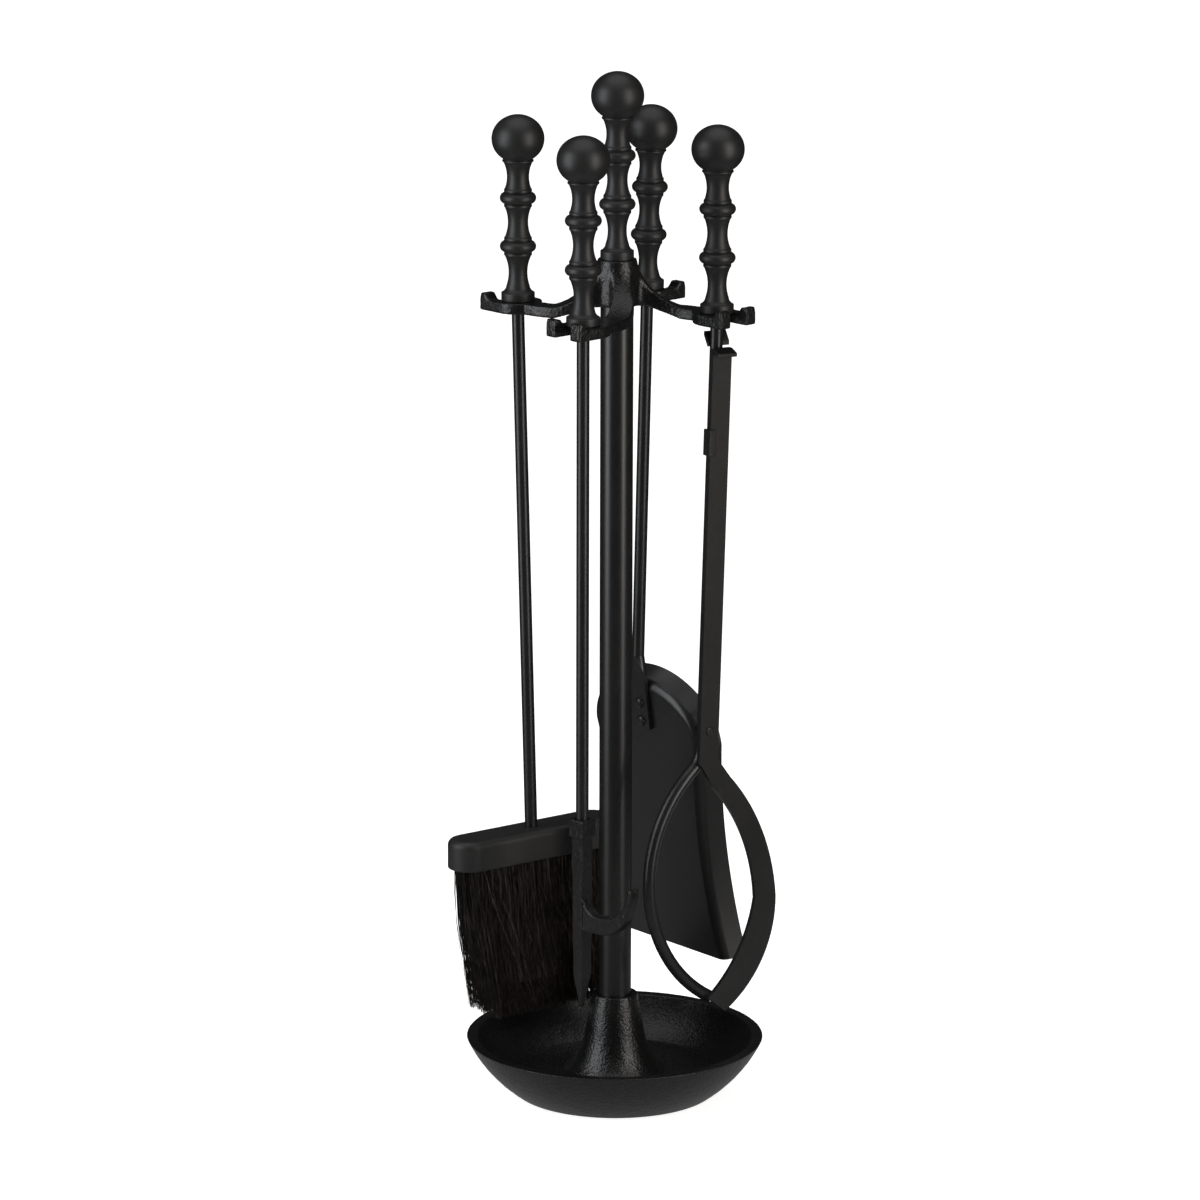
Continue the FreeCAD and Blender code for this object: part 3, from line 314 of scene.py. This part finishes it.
def eased(points: Sequence[Point], radius: float, sharp: float = 25.0) -> list[Point]:
    """Round the corners of an open outline that turn by more than sharp degrees."""
    result = [points[0]]
    for before, here, after in zip(points, points[1:], points[2:]):
        p, a, b = Vector(here), Vector(before), Vector(after)
        turn = (p - a).angle_signed(b - p, 0.0) if (p - a).length and (b - p).length else 0.0
        if abs(math.degrees(turn)) < sharp:
            result.append(here)
            continue
        reach = min(radius, (p - a).length * 0.45, (b - p).length * 0.45)
        first, last = p + (a - p).normalized() * reach, p + (b - p).normalized() * reach
        result += [tuple(first * (1 - t) ** 2 + p * 2 * t * (1 - t) + last * t * t)
                   for t in (0, 0.33, 0.67, 1)]
    return result + [points[-1]]


def spun(points: Sequence[Point], steps: int) -> bmesh.types.BMesh:
    """Spin a closed outline of (radius, height) about the Z axis."""
    mesh = bmesh.new()
    verts = [mesh.verts.new((x, 0, z)) for x, z in points]
    edges = [mesh.edges.new(pair) for pair in zip(verts, verts[1:] + verts[:1])]
    bmesh.ops.spin(mesh, geom=verts + edges, axis=(0, 0, 1), cent=(0, 0, 0), angle=math.tau,
                   steps=steps, use_merge=True, use_duplicate=False)
    bmesh.ops.remove_doubles(mesh, verts=mesh.verts, dist=1e-4)
    bmesh.ops.recalc_face_normals(mesh, faces=mesh.faces)
    return mesh


def bevel(mesh: bmesh.types.BMesh, edges: list[bmesh.types.BMEdge], width: float, segments: int) -> None:
    """Round some edges."""
    bmesh.ops.bevel(mesh, geom=edges, offset=width, offset_type="OFFSET", affect="EDGES",
                    segments=segments, profile=0.5, material=-1, clamp_overlap=True)


def corner_edges(mesh: bmesh.types.BMesh, degrees: float) -> list[bmesh.types.BMEdge]:
    """Edges where two faces meet at more than an angle."""
    limit = math.radians(degrees)
    return [e for e in mesh.edges if len(e.link_faces) == 2 and e.calc_face_angle(0.0) > limit]


def merged_copy(node: str) -> bmesh.types.BMesh:
    """Copy a CAD node's mesh in millimetres, with its loose triangles joined."""
    mesh = bmesh.new()
    mesh.from_mesh(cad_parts[node].data)
    bmesh.ops.scale(mesh, vec=(1 / MM,) * 3, verts=mesh.verts)
    bmesh.ops.remove_doubles(mesh, verts=mesh.verts, dist=1e-3)
    return mesh


def weathered(mesh: bmesh.types.BMesh, grain: float, depth: float,
              where: Callable[[Vector], float] = lambda p: 1.0) -> None:
    """Sink the surface unevenly, as sand casting leaves it.

    Args:
        mesh: the mesh, in millimetres.
        grain: size of the unevenness.
        depth: how deep it sinks at most.
        where: share of the depth at a point.
    """
    mesh.normal_update()
    moves = []
    for vert in mesh.verts:
        swell = noise.fractal(vert.co / grain, 1.0, 2.0, 3) * 0.5 + 0.5
        moves.append(vert.normal * (-depth * min(1.0, max(0.0, swell)) * where(vert.co)))
    for vert, move in zip(mesh.verts, moves):
        vert.co += move


def publish(name: str, mesh: bmesh.types.BMesh, place: Matrix, finish: Finish, body: str,
            nodes: Sequence[str], sharp: float = 40.0) -> bpy.types.Object:
    """Turn a mesh in millimetres into a finished piece of the frame.

    Args:
        name: the piece's name.
        mesh: its mesh, in its own place; it is freed.
        place: matrix from its own place to the row frame, in millimetres.
        finish: its finish.
        body: the body that it rides on.
        nodes: the CAD nodes that it stands for.
        sharp: faces that meet at more degrees than this stay crisp.

    Returns:
        The piece.
    """
    bmesh.ops.transform(mesh, matrix=Matrix.Scale(MM, 4) @ place, verts=mesh.verts)
    data = bpy.data.meshes.new(name)
    for face in mesh.faces:
        face.smooth = True
    mesh.to_mesh(data)
    mesh.free()
    data.set_sharp_from_angle(angle=math.radians(sharp))
    piece = bpy.data.objects.new(name, data)
    bpy.context.scene.collection.objects.link(piece)
    data.materials.append(finish.material())
    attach(piece, body)
    if nodes:
        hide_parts(*nodes)
    LOG.info("%s rides on %s: %d faces", name, body, len(data.polygons))
    return piece


def softened(node: str, body: str, finish: Finish, width: float, flat: float = 1.0,
             crisp: float = 35.0) -> bpy.types.Object:
    """Stand a copy of a CAD node with rounded edges in its place.

    Args:
        node: the CAD node.
        body: its body.
        finish: its finish.
        width: width of the rounding, in millimetres.
        flat: faces within this many degrees are joined first.
        crisp: edges that turn by more degrees than this are rounded.

    Returns:
        The piece.
    """
    mesh = merged_copy(node)
    bmesh.ops.dissolve_limit(mesh, angle_limit=math.radians(flat), verts=mesh.verts, edges=mesh.edges)
    bevel(mesh, corner_edges(mesh, crisp), width, 3)
    bmesh.ops.triangulate(mesh, faces=[f for f in mesh.faces if len(f.verts) > 4])
    piece = publish(node + "_piece", mesh, Matrix.Identity(4), finish, body, [node])
    normals = piece.modifiers.new("even normals", "WEIGHTED_NORMAL")
    normals.keep_sharp = True
    return piece


def smoothed(mesh: bmesh.types.BMesh, verts: list[bmesh.types.BMVert]) -> None:
    """Draw some points half way to the middle of their neighbours."""
    bmesh.ops.smooth_vert(mesh, verts=verts, factor=0.5, use_axis_x=True, use_axis_y=True, use_axis_z=True)


def cast_copy(node: str, body: str, finish: Finish, voxel: float, passes: int, grain: float,
              depth: float, blend: int = 0) -> bpy.types.Object:
    """Stand a copy of a CAD node with the soft edges and uneven skin of a casting in its place.

    Args:
        node: the CAD node.
        body: its body.
        finish: its finish.
        voxel: size of the mesh's faces, in millimetres.
        passes: how often the edges are smoothed.
        grain: size of the unevenness.
        depth: depth of the unevenness.
        blend: how often the skin round the post is smoothed again, so that arms flow into the hub.

    Returns:
        The piece.
    """
    raw = bpy.data.meshes.new(node + "_raw")
    source = merged_copy(node)
    source.to_mesh(raw)
    source.free()
    carrier = bpy.data.objects.new(node + "_raw", raw)
    bpy.context.scene.collection.objects.link(carrier)
    remesh = carrier.modifiers.new("remesh", "REMESH")
    remesh.mode = "VOXEL"
    remesh.voxel_size = voxel
    depsgraph = bpy.context.evaluated_depsgraph_get()
    dense = bpy.data.meshes.new_from_object(carrier.evaluated_get(depsgraph))
    bpy.data.objects.remove(carrier)
    mesh = bmesh.new()
    mesh.from_mesh(dense)
    bpy.data.meshes.remove(dense)
    for _ in range(passes):
        smoothed(mesh, mesh.verts[:])
    for i in range(blend):
        outer = BLEND_OUTER - BLEND_STEP * i
        smoothed(mesh, [v for v in mesh.verts if v.co.z < CROWN_TOP - BLEND_DROP
                        and BLEND_INNER < math.hypot(v.co.x, v.co.y) < outer])
    weathered(mesh, grain, depth)
    return publish(node + "_piece", mesh, Matrix.Identity(4), finish, body, [node], 180.0)


# ---------------------------------------------------------------- where the tools hang

PRONG_REACH = 23.3
CROWN_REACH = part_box("hook_crown")[1].x / MM
HANG_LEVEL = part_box("brush_handle")[0].z / MM
CROWN_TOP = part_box("post_handle")[0].z / MM
HANG_ACROSS = 38.6
BLEND_INNER = 13.2
BLEND_OUTER = 30.0
BLEND_STEP = 0.3
BLEND_DROP = 2.5


@dataclass(frozen=True)
class Stance:
    """Where a tool hangs: quarter turns round the post, then its own turn and lean in degrees."""

    quarter: int
    turn: float = 0.0
    lean: float = 0.0
    rise: float = 0.0
    out: float = 0.0

    def matrix(self) -> Matrix:
        """Matrix from the tool's collar foot to the row frame, in millimetres."""
        spot = Matrix.Rotation(math.radians(90 * self.quarter), 4, "Z") @ Vector(
            (CROWN_REACH - PRONG_REACH + self.out, HANG_ACROSS, HANG_LEVEL + self.rise))
        return (Matrix.Translation(spot) @ Matrix.Rotation(math.radians(self.turn), 4, "Z")
                @ Matrix.Rotation(math.radians(self.lean), 4, "Y"))


@dataclass(frozen=True)
class BallHandle:
    """A turned handle: collar, three waists, two beads between rings, and a ball."""

    collar: float = 12.6
    collar_height: float = 6.0
    cove_height: float = 5.0
    cove_depth: float = 3.8
    waists: tuple[float, float, float] = (7.2, 7.6, 8.3)
    ring: float = 10.5
    groove: float = 9.8
    bead: float = 13.65
    bead_height: float = 8.2
    beads: tuple[float, float] = (41.0, 77.6)
    ring_height: float = 1.8
    ring_step: float = 0.7
    neck: float = 11.8
    neck_height: float = 107.0
    ball: float = 19.8
    ball_middle: float = 122.0
    top: float = 140.4
    shoulder: Point = (14.65, 134.5)

    def beaded(self, middle: float, waist: float, waist_height: float) -> list[tuple[float, ...]]:
        """Outline of the cove under a bead, the bead, and the ring over it."""
        low, high = middle - self.bead_height / 2, middle + self.bead_height / 2
        step, lip = self.ring_step, self.ring_height
        return [
            (self.groove, low - step - lip - step, waist, waist_height),
            (self.ring, low - step - lip), (self.ring, low - step),
            (self.groove, low - step / 2), (self.ring, low),
            (self.ring, high, self.bead, middle),
            (self.groove, high + step / 2), (self.ring, high + step), (self.ring, high + step + lip),
            (self.groove, high + step + lip + step),
        ]

    def outline(self, bore: float, depth: float) -> list[Point]:
        """Outline of the handle from the mouth of its bore round to the bore's end."""
        cove_top = self.collar_height + self.cove_height
        half = self.bead_height / 2
        first, second = self.beads
        neck_foot = self.neck_height - self.ring_height
        drop = self.top - self.shoulder[1]
        cap = (self.shoulder[0] ** 2 + drop ** 2) / (2 * drop)
        lean = math.atan2(self.shoulder[0], cap - drop) / 2
        crown = (cap * math.sin(lean), self.top - cap + cap * math.cos(lean))
        corners = [
            (bore, 0), (self.collar, 0), (self.collar, self.collar_height),
            (self.collar - self.cove_depth, cove_top,
             self.collar - self.cove_depth * 0.7, self.collar_height + self.cove_height * 0.4),
            *self.beaded(first, self.waists[0], (cove_top + first - half) / 2),
            *self.beaded(second, self.waists[1], (first + second) / 2),
            (self.neck - 1, neck_foot - self.ring_step, self.waists[2],
             (second + half + neck_foot) / 2),
            (self.neck, neck_foot), (self.neck, self.neck_height - self.ring_step),
            (self.neck - 1, self.neck_height),
            (*self.shoulder, self.ball, self.ball_middle),
            (0, self.top, *crown),
        ]
        return eased(polyline(corners, 0.9), 0.4) + [(0, depth), (bore, depth)]

    def build(self, node: str, body: str, place: Matrix, bore: float) -> None:
        """Make one handle.

        Args:
            node: the CAD node that it stands for.
            body: its body.
            place: matrix from its collar foot to the row frame.
            bore: radius of the hole that takes its rod.
        """
        mesh = spun(self.outline(bore, 28.0), 96)
        publish(node + "_turned", mesh, place, Finish.TURNED, body, [node], 50.0)


# ---------------------------------------------------------------- stand

@dataclass(frozen=True)
class Stand:
    """Dish base, post, crown and the hardware that clamps them together."""

    foot: float = 77.2
    foot_ring: float = 9.0
    recess: float = 4.0
    nut_recess: float = 10.0
    nut_recess_radius: float = 20.0
    floor: float = 15.0
    floor_radius: float = 74.0
    rim_height: float = 42.6
    rim_width: float = 8.7
    bulge: float = 4.8
    bore: float = 12.55
    tie_hole: float = 4.15
    socket_top: float = 76.0
    socket_lip: float = 4.8
    socket_waist: float = 10.2
    socket_flare: float = 26.0
    post: float = 12.4
    post_wall: float = 1.5

    def build(self) -> None:
        """Make the whole stand."""
        self.bowl()
        self.tube()
        cast_copy("hook_crown", "stand", Finish.CAST, 0.95, 2, 2.4, 0.25, 28)
        BallHandle().build("post_handle", "stand", Matrix.Translation((0, 0, CROWN_TOP)), 4.0)
        for node in ("tie_rod", "base_washer", "base_nut"):
            dress_node(node, Finish.ZINC)

    def bowl(self) -> None:
        """Spin the dish with its post socket and give it a cast skin."""
        rim = (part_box("base_bowl")[1].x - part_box("base_bowl")[0].x) / MM / 2
        inner = rim - self.rim_width
        half = (self.socket_top + self.floor) / 2
        corners = [
            (self.tie_hole, self.nut_recess), (self.nut_recess_radius, self.nut_recess),
            (self.nut_recess_radius, self.recess), (self.foot - self.foot_ring, self.recess),
            (self.foot - self.foot_ring, 0), (self.foot, 0),
            (rim, self.rim_height, (self.foot + rim) / 2 + self.bulge, self.rim_height / 2),
            (inner, self.rim_height),
            (self.floor_radius, self.floor,
             (self.floor_radius + inner) / 2 + self.bulge, (self.rim_height + self.floor) / 2),
            (self.bore + self.socket_flare, self.floor),
            (self.bore + self.socket_waist, half,
             self.bore + self.socket_waist * 1.5, (self.floor + half) / 2),
            (self.bore + self.socket_lip, self.socket_top), (self.bore, self.socket_top),
            (self.bore, self.floor), (self.tie_hole, self.floor),
        ]
        outline = [p for a, b in zip([corners[0]] + polyline(corners, 2.2), polyline(corners, 2.2))
                   for p in divided(a[:2], b, 2.4)]
        mesh = spun(eased(outline, 1.3), 288)
        weathered(mesh, 5.0, 0.3,
                  lambda p: 1.0 if p.z > 0.5 and math.hypot(p.x, p.y) > self.bore + 1 else 0.0)
        publish("dish_base", mesh, Matrix.Identity(4), Finish.CAST, "stand", ["base_bowl"], 60.0)

    def tube(self) -> None:
        """Spin the post tube."""
        low, high = (corner.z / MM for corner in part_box("post_tube"))
        inner = self.post - self.post_wall
        wall = [(inner, low), (self.post, low), (self.post, high), (inner, high)]
        publish("post_tube_drawn", spun(wall, 128), Matrix.Identity(4), Finish.SATIN, "stand",
                ["post_tube"])


def divided(start: Point, end: Point, step: float) -> list[Point]:
    """Points after start on a straight run, no more than step apart."""
    count = max(1, math.ceil(math.dist(start, end) / step))
    return [(start[0] + (end[0] - start[0]) * i / count, start[1] + (end[1] - start[1]) * i / count)
            for i in range(1, count + 1)] if start != end else []


def dress_node(node: str, finish: Finish) -> None:
    """Give a CAD node that keeps its shape a better material."""
    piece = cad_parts[node]
    material = finish.material()
    for slot in piece.material_slots:
        slot.material = material
    LOG.info("%s keeps its CAD shape", node)


# ---------------------------------------------------------------- brush

@dataclass(frozen=True)
class Brush:
    """Hearth brush: handle, leaning rod, lacquered block and tufts of fibre."""

    bore: float = 4.95
    block_length: float = 150.0
    block_width: float = 34.0
    block_height: float = 23.0
    block_round: float = 5.0
    block_turn: float = 84.0
    inset: float = 3.0
    margin: float = 10.5
    flare: float = 8.0
    gather: float = 4.0
    swept: float = 14.0
    length: float = 119.5
    core_root: Point = (124.0, 22.0)
    core_tip: Point = (116.0, 32.0)
    core_length: float = 94.0
    tuft_columns: int = 20
    tuft_rows: int = 5
    hairs: int = 64
    strays: int = 360
    loose: int = 110
    hair: float = 0.28

    def build(self) -> None:
        """Make the brush."""
        BallHandle().build("brush_handle", "brush", Stance(2).matrix(), self.bore)
        softened("brush_rod", "brush", Finish.SATIN, 0.5, 0.2, 50.0)
        low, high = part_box("brush_block")
        centre = (low + high) / 2 / MM
        place = (Matrix.Translation((centre.x, centre.y, high.z / MM))
                 @ Matrix.Rotation(math.radians(self.block_turn), 4, "Z"))
        self.block(place)
        self.tufts(place @ Matrix.Translation((0, 0, -self.block_height)))

    def stadium(self, mesh: bmesh.types.BMesh, length: float, width: float, height: float,
                capped: bool) -> list[bmesh.types.BMVert]:
        """Add a ring with straight sides and round ends to a mesh."""
        count = 64
        made = bmesh.ops.create_circle(mesh, cap_ends=capped, segments=count, radius=width / 2)["verts"]
        half_step = Matrix.Rotation(math.pi / count, 4, "Z")
        bmesh.ops.transform(mesh, matrix=Matrix.Translation((0, 0, height)) @ half_step, verts=made)
        side = (length - width) / 2
        for vert in made:
            vert.co.x += math.copysign(side, vert.co.x)
        return made

    def block(self, place: Matrix) -> None:
        """Make the block, with a full round on its top edge."""
        mesh = bmesh.new()
        self.stadium(mesh, self.block_length, self.block_width, 0, True)
        lifted = bmesh.ops.extrude_face_region(mesh, geom=mesh.faces[:])["geom"]
        moved = [item for item in lifted if isinstance(item, bmesh.types.BMVert)]
        bmesh.ops.translate(mesh, vec=(0, 0, -self.block_height), verts=moved)
        bmesh.ops.recalc_face_normals(mesh, faces=mesh.faces)
        top = [e for e in corner_edges(mesh, 60) if all(abs(v.co.z) < 0.01 for v in e.verts)]
        bevel(mesh, top, self.block_round, 6)
        foot = [e for e in corner_edges(mesh, 60)
                if all(v.co.z < 0.01 - self.block_height for v in e.verts)]
        bevel(mesh, foot, 1.0, 3)
        weathered(mesh, 30.0, 0.15)
        piece = publish("brush_block_lacquered", mesh, place, Finish.LACQUER, "brush", ["brush_block"])
        piece.modifiers.new("even normals", "WEIGHTED_NORMAL").keep_sharp = True

    def tufts(self, place: Matrix) -> None:
        """Set tufts of hairs in rows, over a dark core, with strays among them."""
        core = bmesh.new()
        rings = [self.stadium(core, *self.core_root, 0, True),
                 self.stadium(core, *self.core_tip, -self.core_length, True)]
        bmesh.ops.translate(core, vec=(self.swept * 0.75, 0, 0), verts=rings[1])
        bmesh.ops.bridge_loops(core, edges=[e for e in core.edges if len(e.link_faces) < 2])
        bmesh.ops.recalc_face_normals(core, faces=core.faces)
        publish("bristle_core", core, place, Finish.FIBRE, "brush", ["brush_bristles"])
        draw = random.Random(7)
        long_half = self.block_length / 2 - self.margin - 2
        wide_half = self.block_width / 2 - self.inset - 3.5
        for row in range(self.tuft_rows):
            across = wide_half * (2 * row / (self.tuft_rows - 1) - 1)
            hairs = []
            for column in range(self.tuft_columns):
                along = long_half * (2 * (column + 0.25 * (row % 2)) / (self.tuft_columns - 0.75) - 1)
                lean = draw.gauss(0, 2.2)
                for _ in range(self.hairs):
                    hairs.append(self.strand(draw, along, across, lean, 2.4, 1.0))
            for _ in range(self.strays // self.tuft_rows):
                along = draw.uniform(-long_half, long_half)
                hairs.append(self.strand(draw, along, across, draw.uniform(-8, 18), 7.0, 0.93))
            self.weave("bristle_row_%d" % row, hairs, place)
        loose = [self.strand(draw, draw.uniform(-long_half, long_half * 0.7), side * wide_half,
                             draw.uniform(0, 26), 5.0, 0.95, 5.0)
                 for side in (-1, 1) for _ in range(self.loose // 2)]
        self.weave("bristle_loose_hairs", loose, place, Finish.STRAY)

    def strand(self, draw: random.Random, along: float, across: float, sweep: float, spread: float,
               reach: float, bow: float = 1.8) -> list[Vector]:
        """Choose one hair's path from its root to its tip.

        Args:
            draw: the random draws.
            along: its tuft's place along the block.
            across: its tuft's place across the block.
            sweep: how far its tip is swept along the block.
            spread: how far tips of one tuft scatter.
            reach: share of the full length.
            bow: how far it bends between root and tip.

        Returns:
            Points from root to tip.
        """
        root = Vector((along + draw.gauss(0, 1.2), across + draw.gauss(0, 0.9), 1.0))
        length = self.length * reach * (1 - abs(draw.gauss(0, 0.028)))
        long_half = self.block_length / 2 - self.margin
        wide_half = self.block_width / 2 - self.inset
        tip_x = along * (1 - self.gather / long_half) + self.swept + sweep + draw.gauss(0, spread)
        tip_y = across * (1 + self.flare / wide_half) + draw.gauss(0, spread * 0.9)
        wide_limit = wide_half + self.flare - 1
        reach_half = long_half - self.gather - 1
        near, far = self.swept - reach_half, self.swept + reach_half
        tip = Vector((max(near, min(far, tip_x)), max(-wide_limit, min(wide_limit, tip_y)), 0))
        bend = Vector((draw.gauss(0, bow), draw.gauss(0, min(bow, 1.6)), 0))
        points = []
        for i in range(6):
            t = i / 5
            side = root.lerp(tip, t ** 1.3) + bend * math.sin(math.pi * t)
            points.append(Vector((side.x, side.y, root.z - (length + root.z) * t)))
        return points

    def weave(self, name: str, hairs: list[list[Vector]], place: Matrix,
              finish: Finish = Finish.FIBRE) -> None:
        """Make one row of hairs from curves."""
        curve = bpy.data.curves.new(name, "CURVE")
        curve.dimensions = "3D"
        curve.bevel_depth = self.hair
        curve.bevel_resolution = 0
        for hair in hairs:
            spline = curve.splines.new("POLY")
            spline.points.add(len(hair) - 1)
            for i, (spot, point) in enumerate(zip(hair, spline.points)):
                point.co = (*spot, 1)
                point.radius = 1 - 0.6 * i / (len(hair) - 1)
        carrier = bpy.data.objects.new(name + "_curve", curve)
        bpy.context.scene.collection.objects.link(carrier)
        depsgraph = bpy.context.evaluated_depsgraph_get()
        data = bpy.data.meshes.new_from_object(carrier.evaluated_get(depsgraph))
        bpy.data.objects.remove(carrier)
        mesh = bmesh.new()
        mesh.from_mesh(data)
        bpy.data.meshes.remove(data)
        publish(name, mesh, place, finish, "brush", ["brush_bristles"], 180.0)


# ---------------------------------------------------------------- poker, shovel, tongs

@dataclass(frozen=True)
class Poker:
    """Poker: handle, straight rod and a rough forged head with a side hook."""

    bore: float = 4.95
    out: float = 2.5

    def build(self) -> None:
        """Make the poker."""
        BallHandle().build("poker_handle", "poker", Stance(3, out=self.out).matrix(), self.bore)
        softened("poker_rod", "poker", Finish.SATIN, 0.5, 0.2, 50.0)
        cast_copy("poker_head", "poker", Finish.FORGED, 0.5, 2, 3.4, 0.25)


@dataclass(frozen=True)
class Shovel:
    """Shovel: handle, rod with a flattened strap, pressed pan and two rivets."""

    bore: float = 4.95
    collar: float = 12.6
    lean: float = 1.7

    def build(self) -> None:
        """Make the shovel."""
        rise = self.collar * math.sin(math.radians(self.lean))
        place = Stance(1, 0.0, self.lean, rise).matrix()
        BallHandle().build("shovel_handle", "shovel", place, self.bore)
        for node in ("shovel_rod", "shovel_blade", "shovel_rivets"):
            dress_node(node, Finish.SATIN)


@dataclass(frozen=True)
class Tongs:
    """Tongs: handle, rod bowed into a jaw, riveted flat lever, tabs and a guide clip."""

    bore: float = 4.95
    turn: float = 82.0

    def build(self) -> None:
        """Make the tongs."""
        BallHandle().build("tongs_handle", "tongs", Stance(0, self.turn).matrix(), self.bore)
        softened("tongs_lever", "lever", Finish.SATIN, 0.45)
        softened("tongs_thumb_tab", "lever", Finish.SATIN, 0.6)
        softened("tongs_guide_clip", "lever", Finish.SATIN, 0.4)
        softened("tongs_finger_tab", "tongs", Finish.SATIN, 0.6)
        for node in ("tongs_rod", "tongs_pivot_rivet"):
            dress_node(node, Finish.SATIN)


# ---------------------------------------------------------------- studio

@dataclass(frozen=True)
class Studio:
    """White floor with a grey reflector card, two tall soft boxes, an overhead light and the camera."""

    turn: float = math.radians(47.0)
    pitch: float = 0.23585
    yaw: float = 0.00274
    roll: float = 0.0025
    distance: float = 4.42655
    height: float = 1.44904
    lens: float = 180.915

    def out(self, right: float, near: float, up: float) -> Vector:
        """Place a point by metres to the camera's right, towards the camera, and up."""
        return Vector((math.cos(self.turn) * right + math.sin(self.turn) * near,
                       math.sin(self.turn) * right - math.cos(self.turn) * near, up))

    def camera(self) -> None:
        """Set up the camera."""
        data = bpy.data.cameras.new("view")
        data.lens = self.lens
        data.sensor_width = 36
        data.clip_end = 60
        camera = bpy.data.objects.new("view", data)
        camera.location = self.out(0, self.distance, self.height)
        aim = Matrix.Rotation(self.turn + self.yaw, 3, "Z") @ Matrix.Rotation(math.pi / 2 - self.pitch, 3, "X")
        camera.rotation_euler = (aim @ Matrix.Rotation(self.roll, 3, "Z")).to_euler()
        bpy.context.scene.collection.objects.link(camera)
        bpy.context.scene.camera = camera

    def soft_box(self, name: str, spot: Vector, target: Vector, size: Point, power: float,
                 tint: Colour) -> None:
        """Hang one rectangular light.

        Args:
            name: its name.
            spot: where it hangs.
            target: what it faces.
            size: width and height, in metres.
            power: watts.
            tint: its colour.
        """
        data = bpy.data.lights.new(name, "AREA")
        data.shape = "RECTANGLE"
        data.size, data.size_y = size
        data.energy = power
        data.color = tint
        lamp = bpy.data.objects.new(name, data)
        lamp.location = spot
        lamp.rotation_euler = (target - spot).to_track_quat("-Z", "Y").to_euler()
        bpy.context.scene.collection.objects.link(lamp)

    def floor(self, name: str, radius: float, level: float,
              material: bpy.types.Material) -> bpy.types.Object:
        """Lay one round floor.

        Args:
            name: its name.
            radius: its radius, in metres.
            level: its height, in metres.
            material: its material.

        Returns:
            The floor.
        """
        mesh = bmesh.new()
        bmesh.ops.create_circle(mesh, cap_ends=True, segments=96, radius=radius,
                                matrix=Matrix.Translation((0, 0, level)))
        data = bpy.data.meshes.new(name)
        mesh.to_mesh(data)
        mesh.free()
        data.materials.append(material)
        disc = bpy.data.objects.new(name, data)
        bpy.context.scene.collection.objects.link(disc)
        return disc

    def build(self) -> None:
        """Lay the floor and hang the lights."""
        shader = Shader("pale_floor")
        shader.dress(Base_Color=(0.9, 0.9, 0.9, 1), Roughness=0.9, Specular_IOR_Level=0.1,
                     Emission_Color=(1, 1, 1, 1), Emission_Strength=0.8)
        self.floor("floor", 30.0, 0.0, shader.material).visible_glossy = False
        glow = Shader("grey_card")
        glow.dress(Base_Color=(0, 0, 0, 1), Specular_IOR_Level=0.0, Emission_Color=(1, 1, 1, 1),
                   Emission_Strength=0.26)
        card = self.floor("reflector_card", 0.6, -0.001, glow.material)
        card.visible_camera = card.visible_diffuse = card.visible_shadow = False
        world = bpy.data.worlds.new("studio")
        bpy.context.scene.world = world
        world.use_nodes = True
        world.node_tree.nodes["Background"].inputs["Color"].default_value = (1, 1, 1, 1)
        world.node_tree.nodes["Background"].inputs["Strength"].default_value = 0.025
        sun = bpy.data.lights.new("overhead", "SUN")
        sun.energy = 1.2
        sun.angle = math.radians(70)
        overhead = bpy.data.objects.new("overhead", sun)
        bpy.context.scene.collection.objects.link(overhead)
        middle = Vector((0, 0, 0.4))
        self.soft_box("left box", self.out(-1.55, 0.7, 0.8), middle, (0.95, 1.9), 24, (0.95, 0.97, 1.0))
        self.soft_box("right box", self.out(1.35, 1.1, 0.8), middle, (0.6, 1.9), 20, (1.0, 0.95, 0.9))
        bpy.context.scene.view_settings.view_transform = "Standard"


def main() -> None:
    """Build the camera, the set and the studio."""
    logging.basicConfig(level=logging.INFO, format="%(message)s")
    studio = Studio()
    studio.camera()
    for assembly in (Stand(), Brush(), Poker(), Shovel(), Tongs()):
        assembly.build()
    studio.build()
    bpy.context.view_layer.update()


if __name__ == "__main__":
    main()
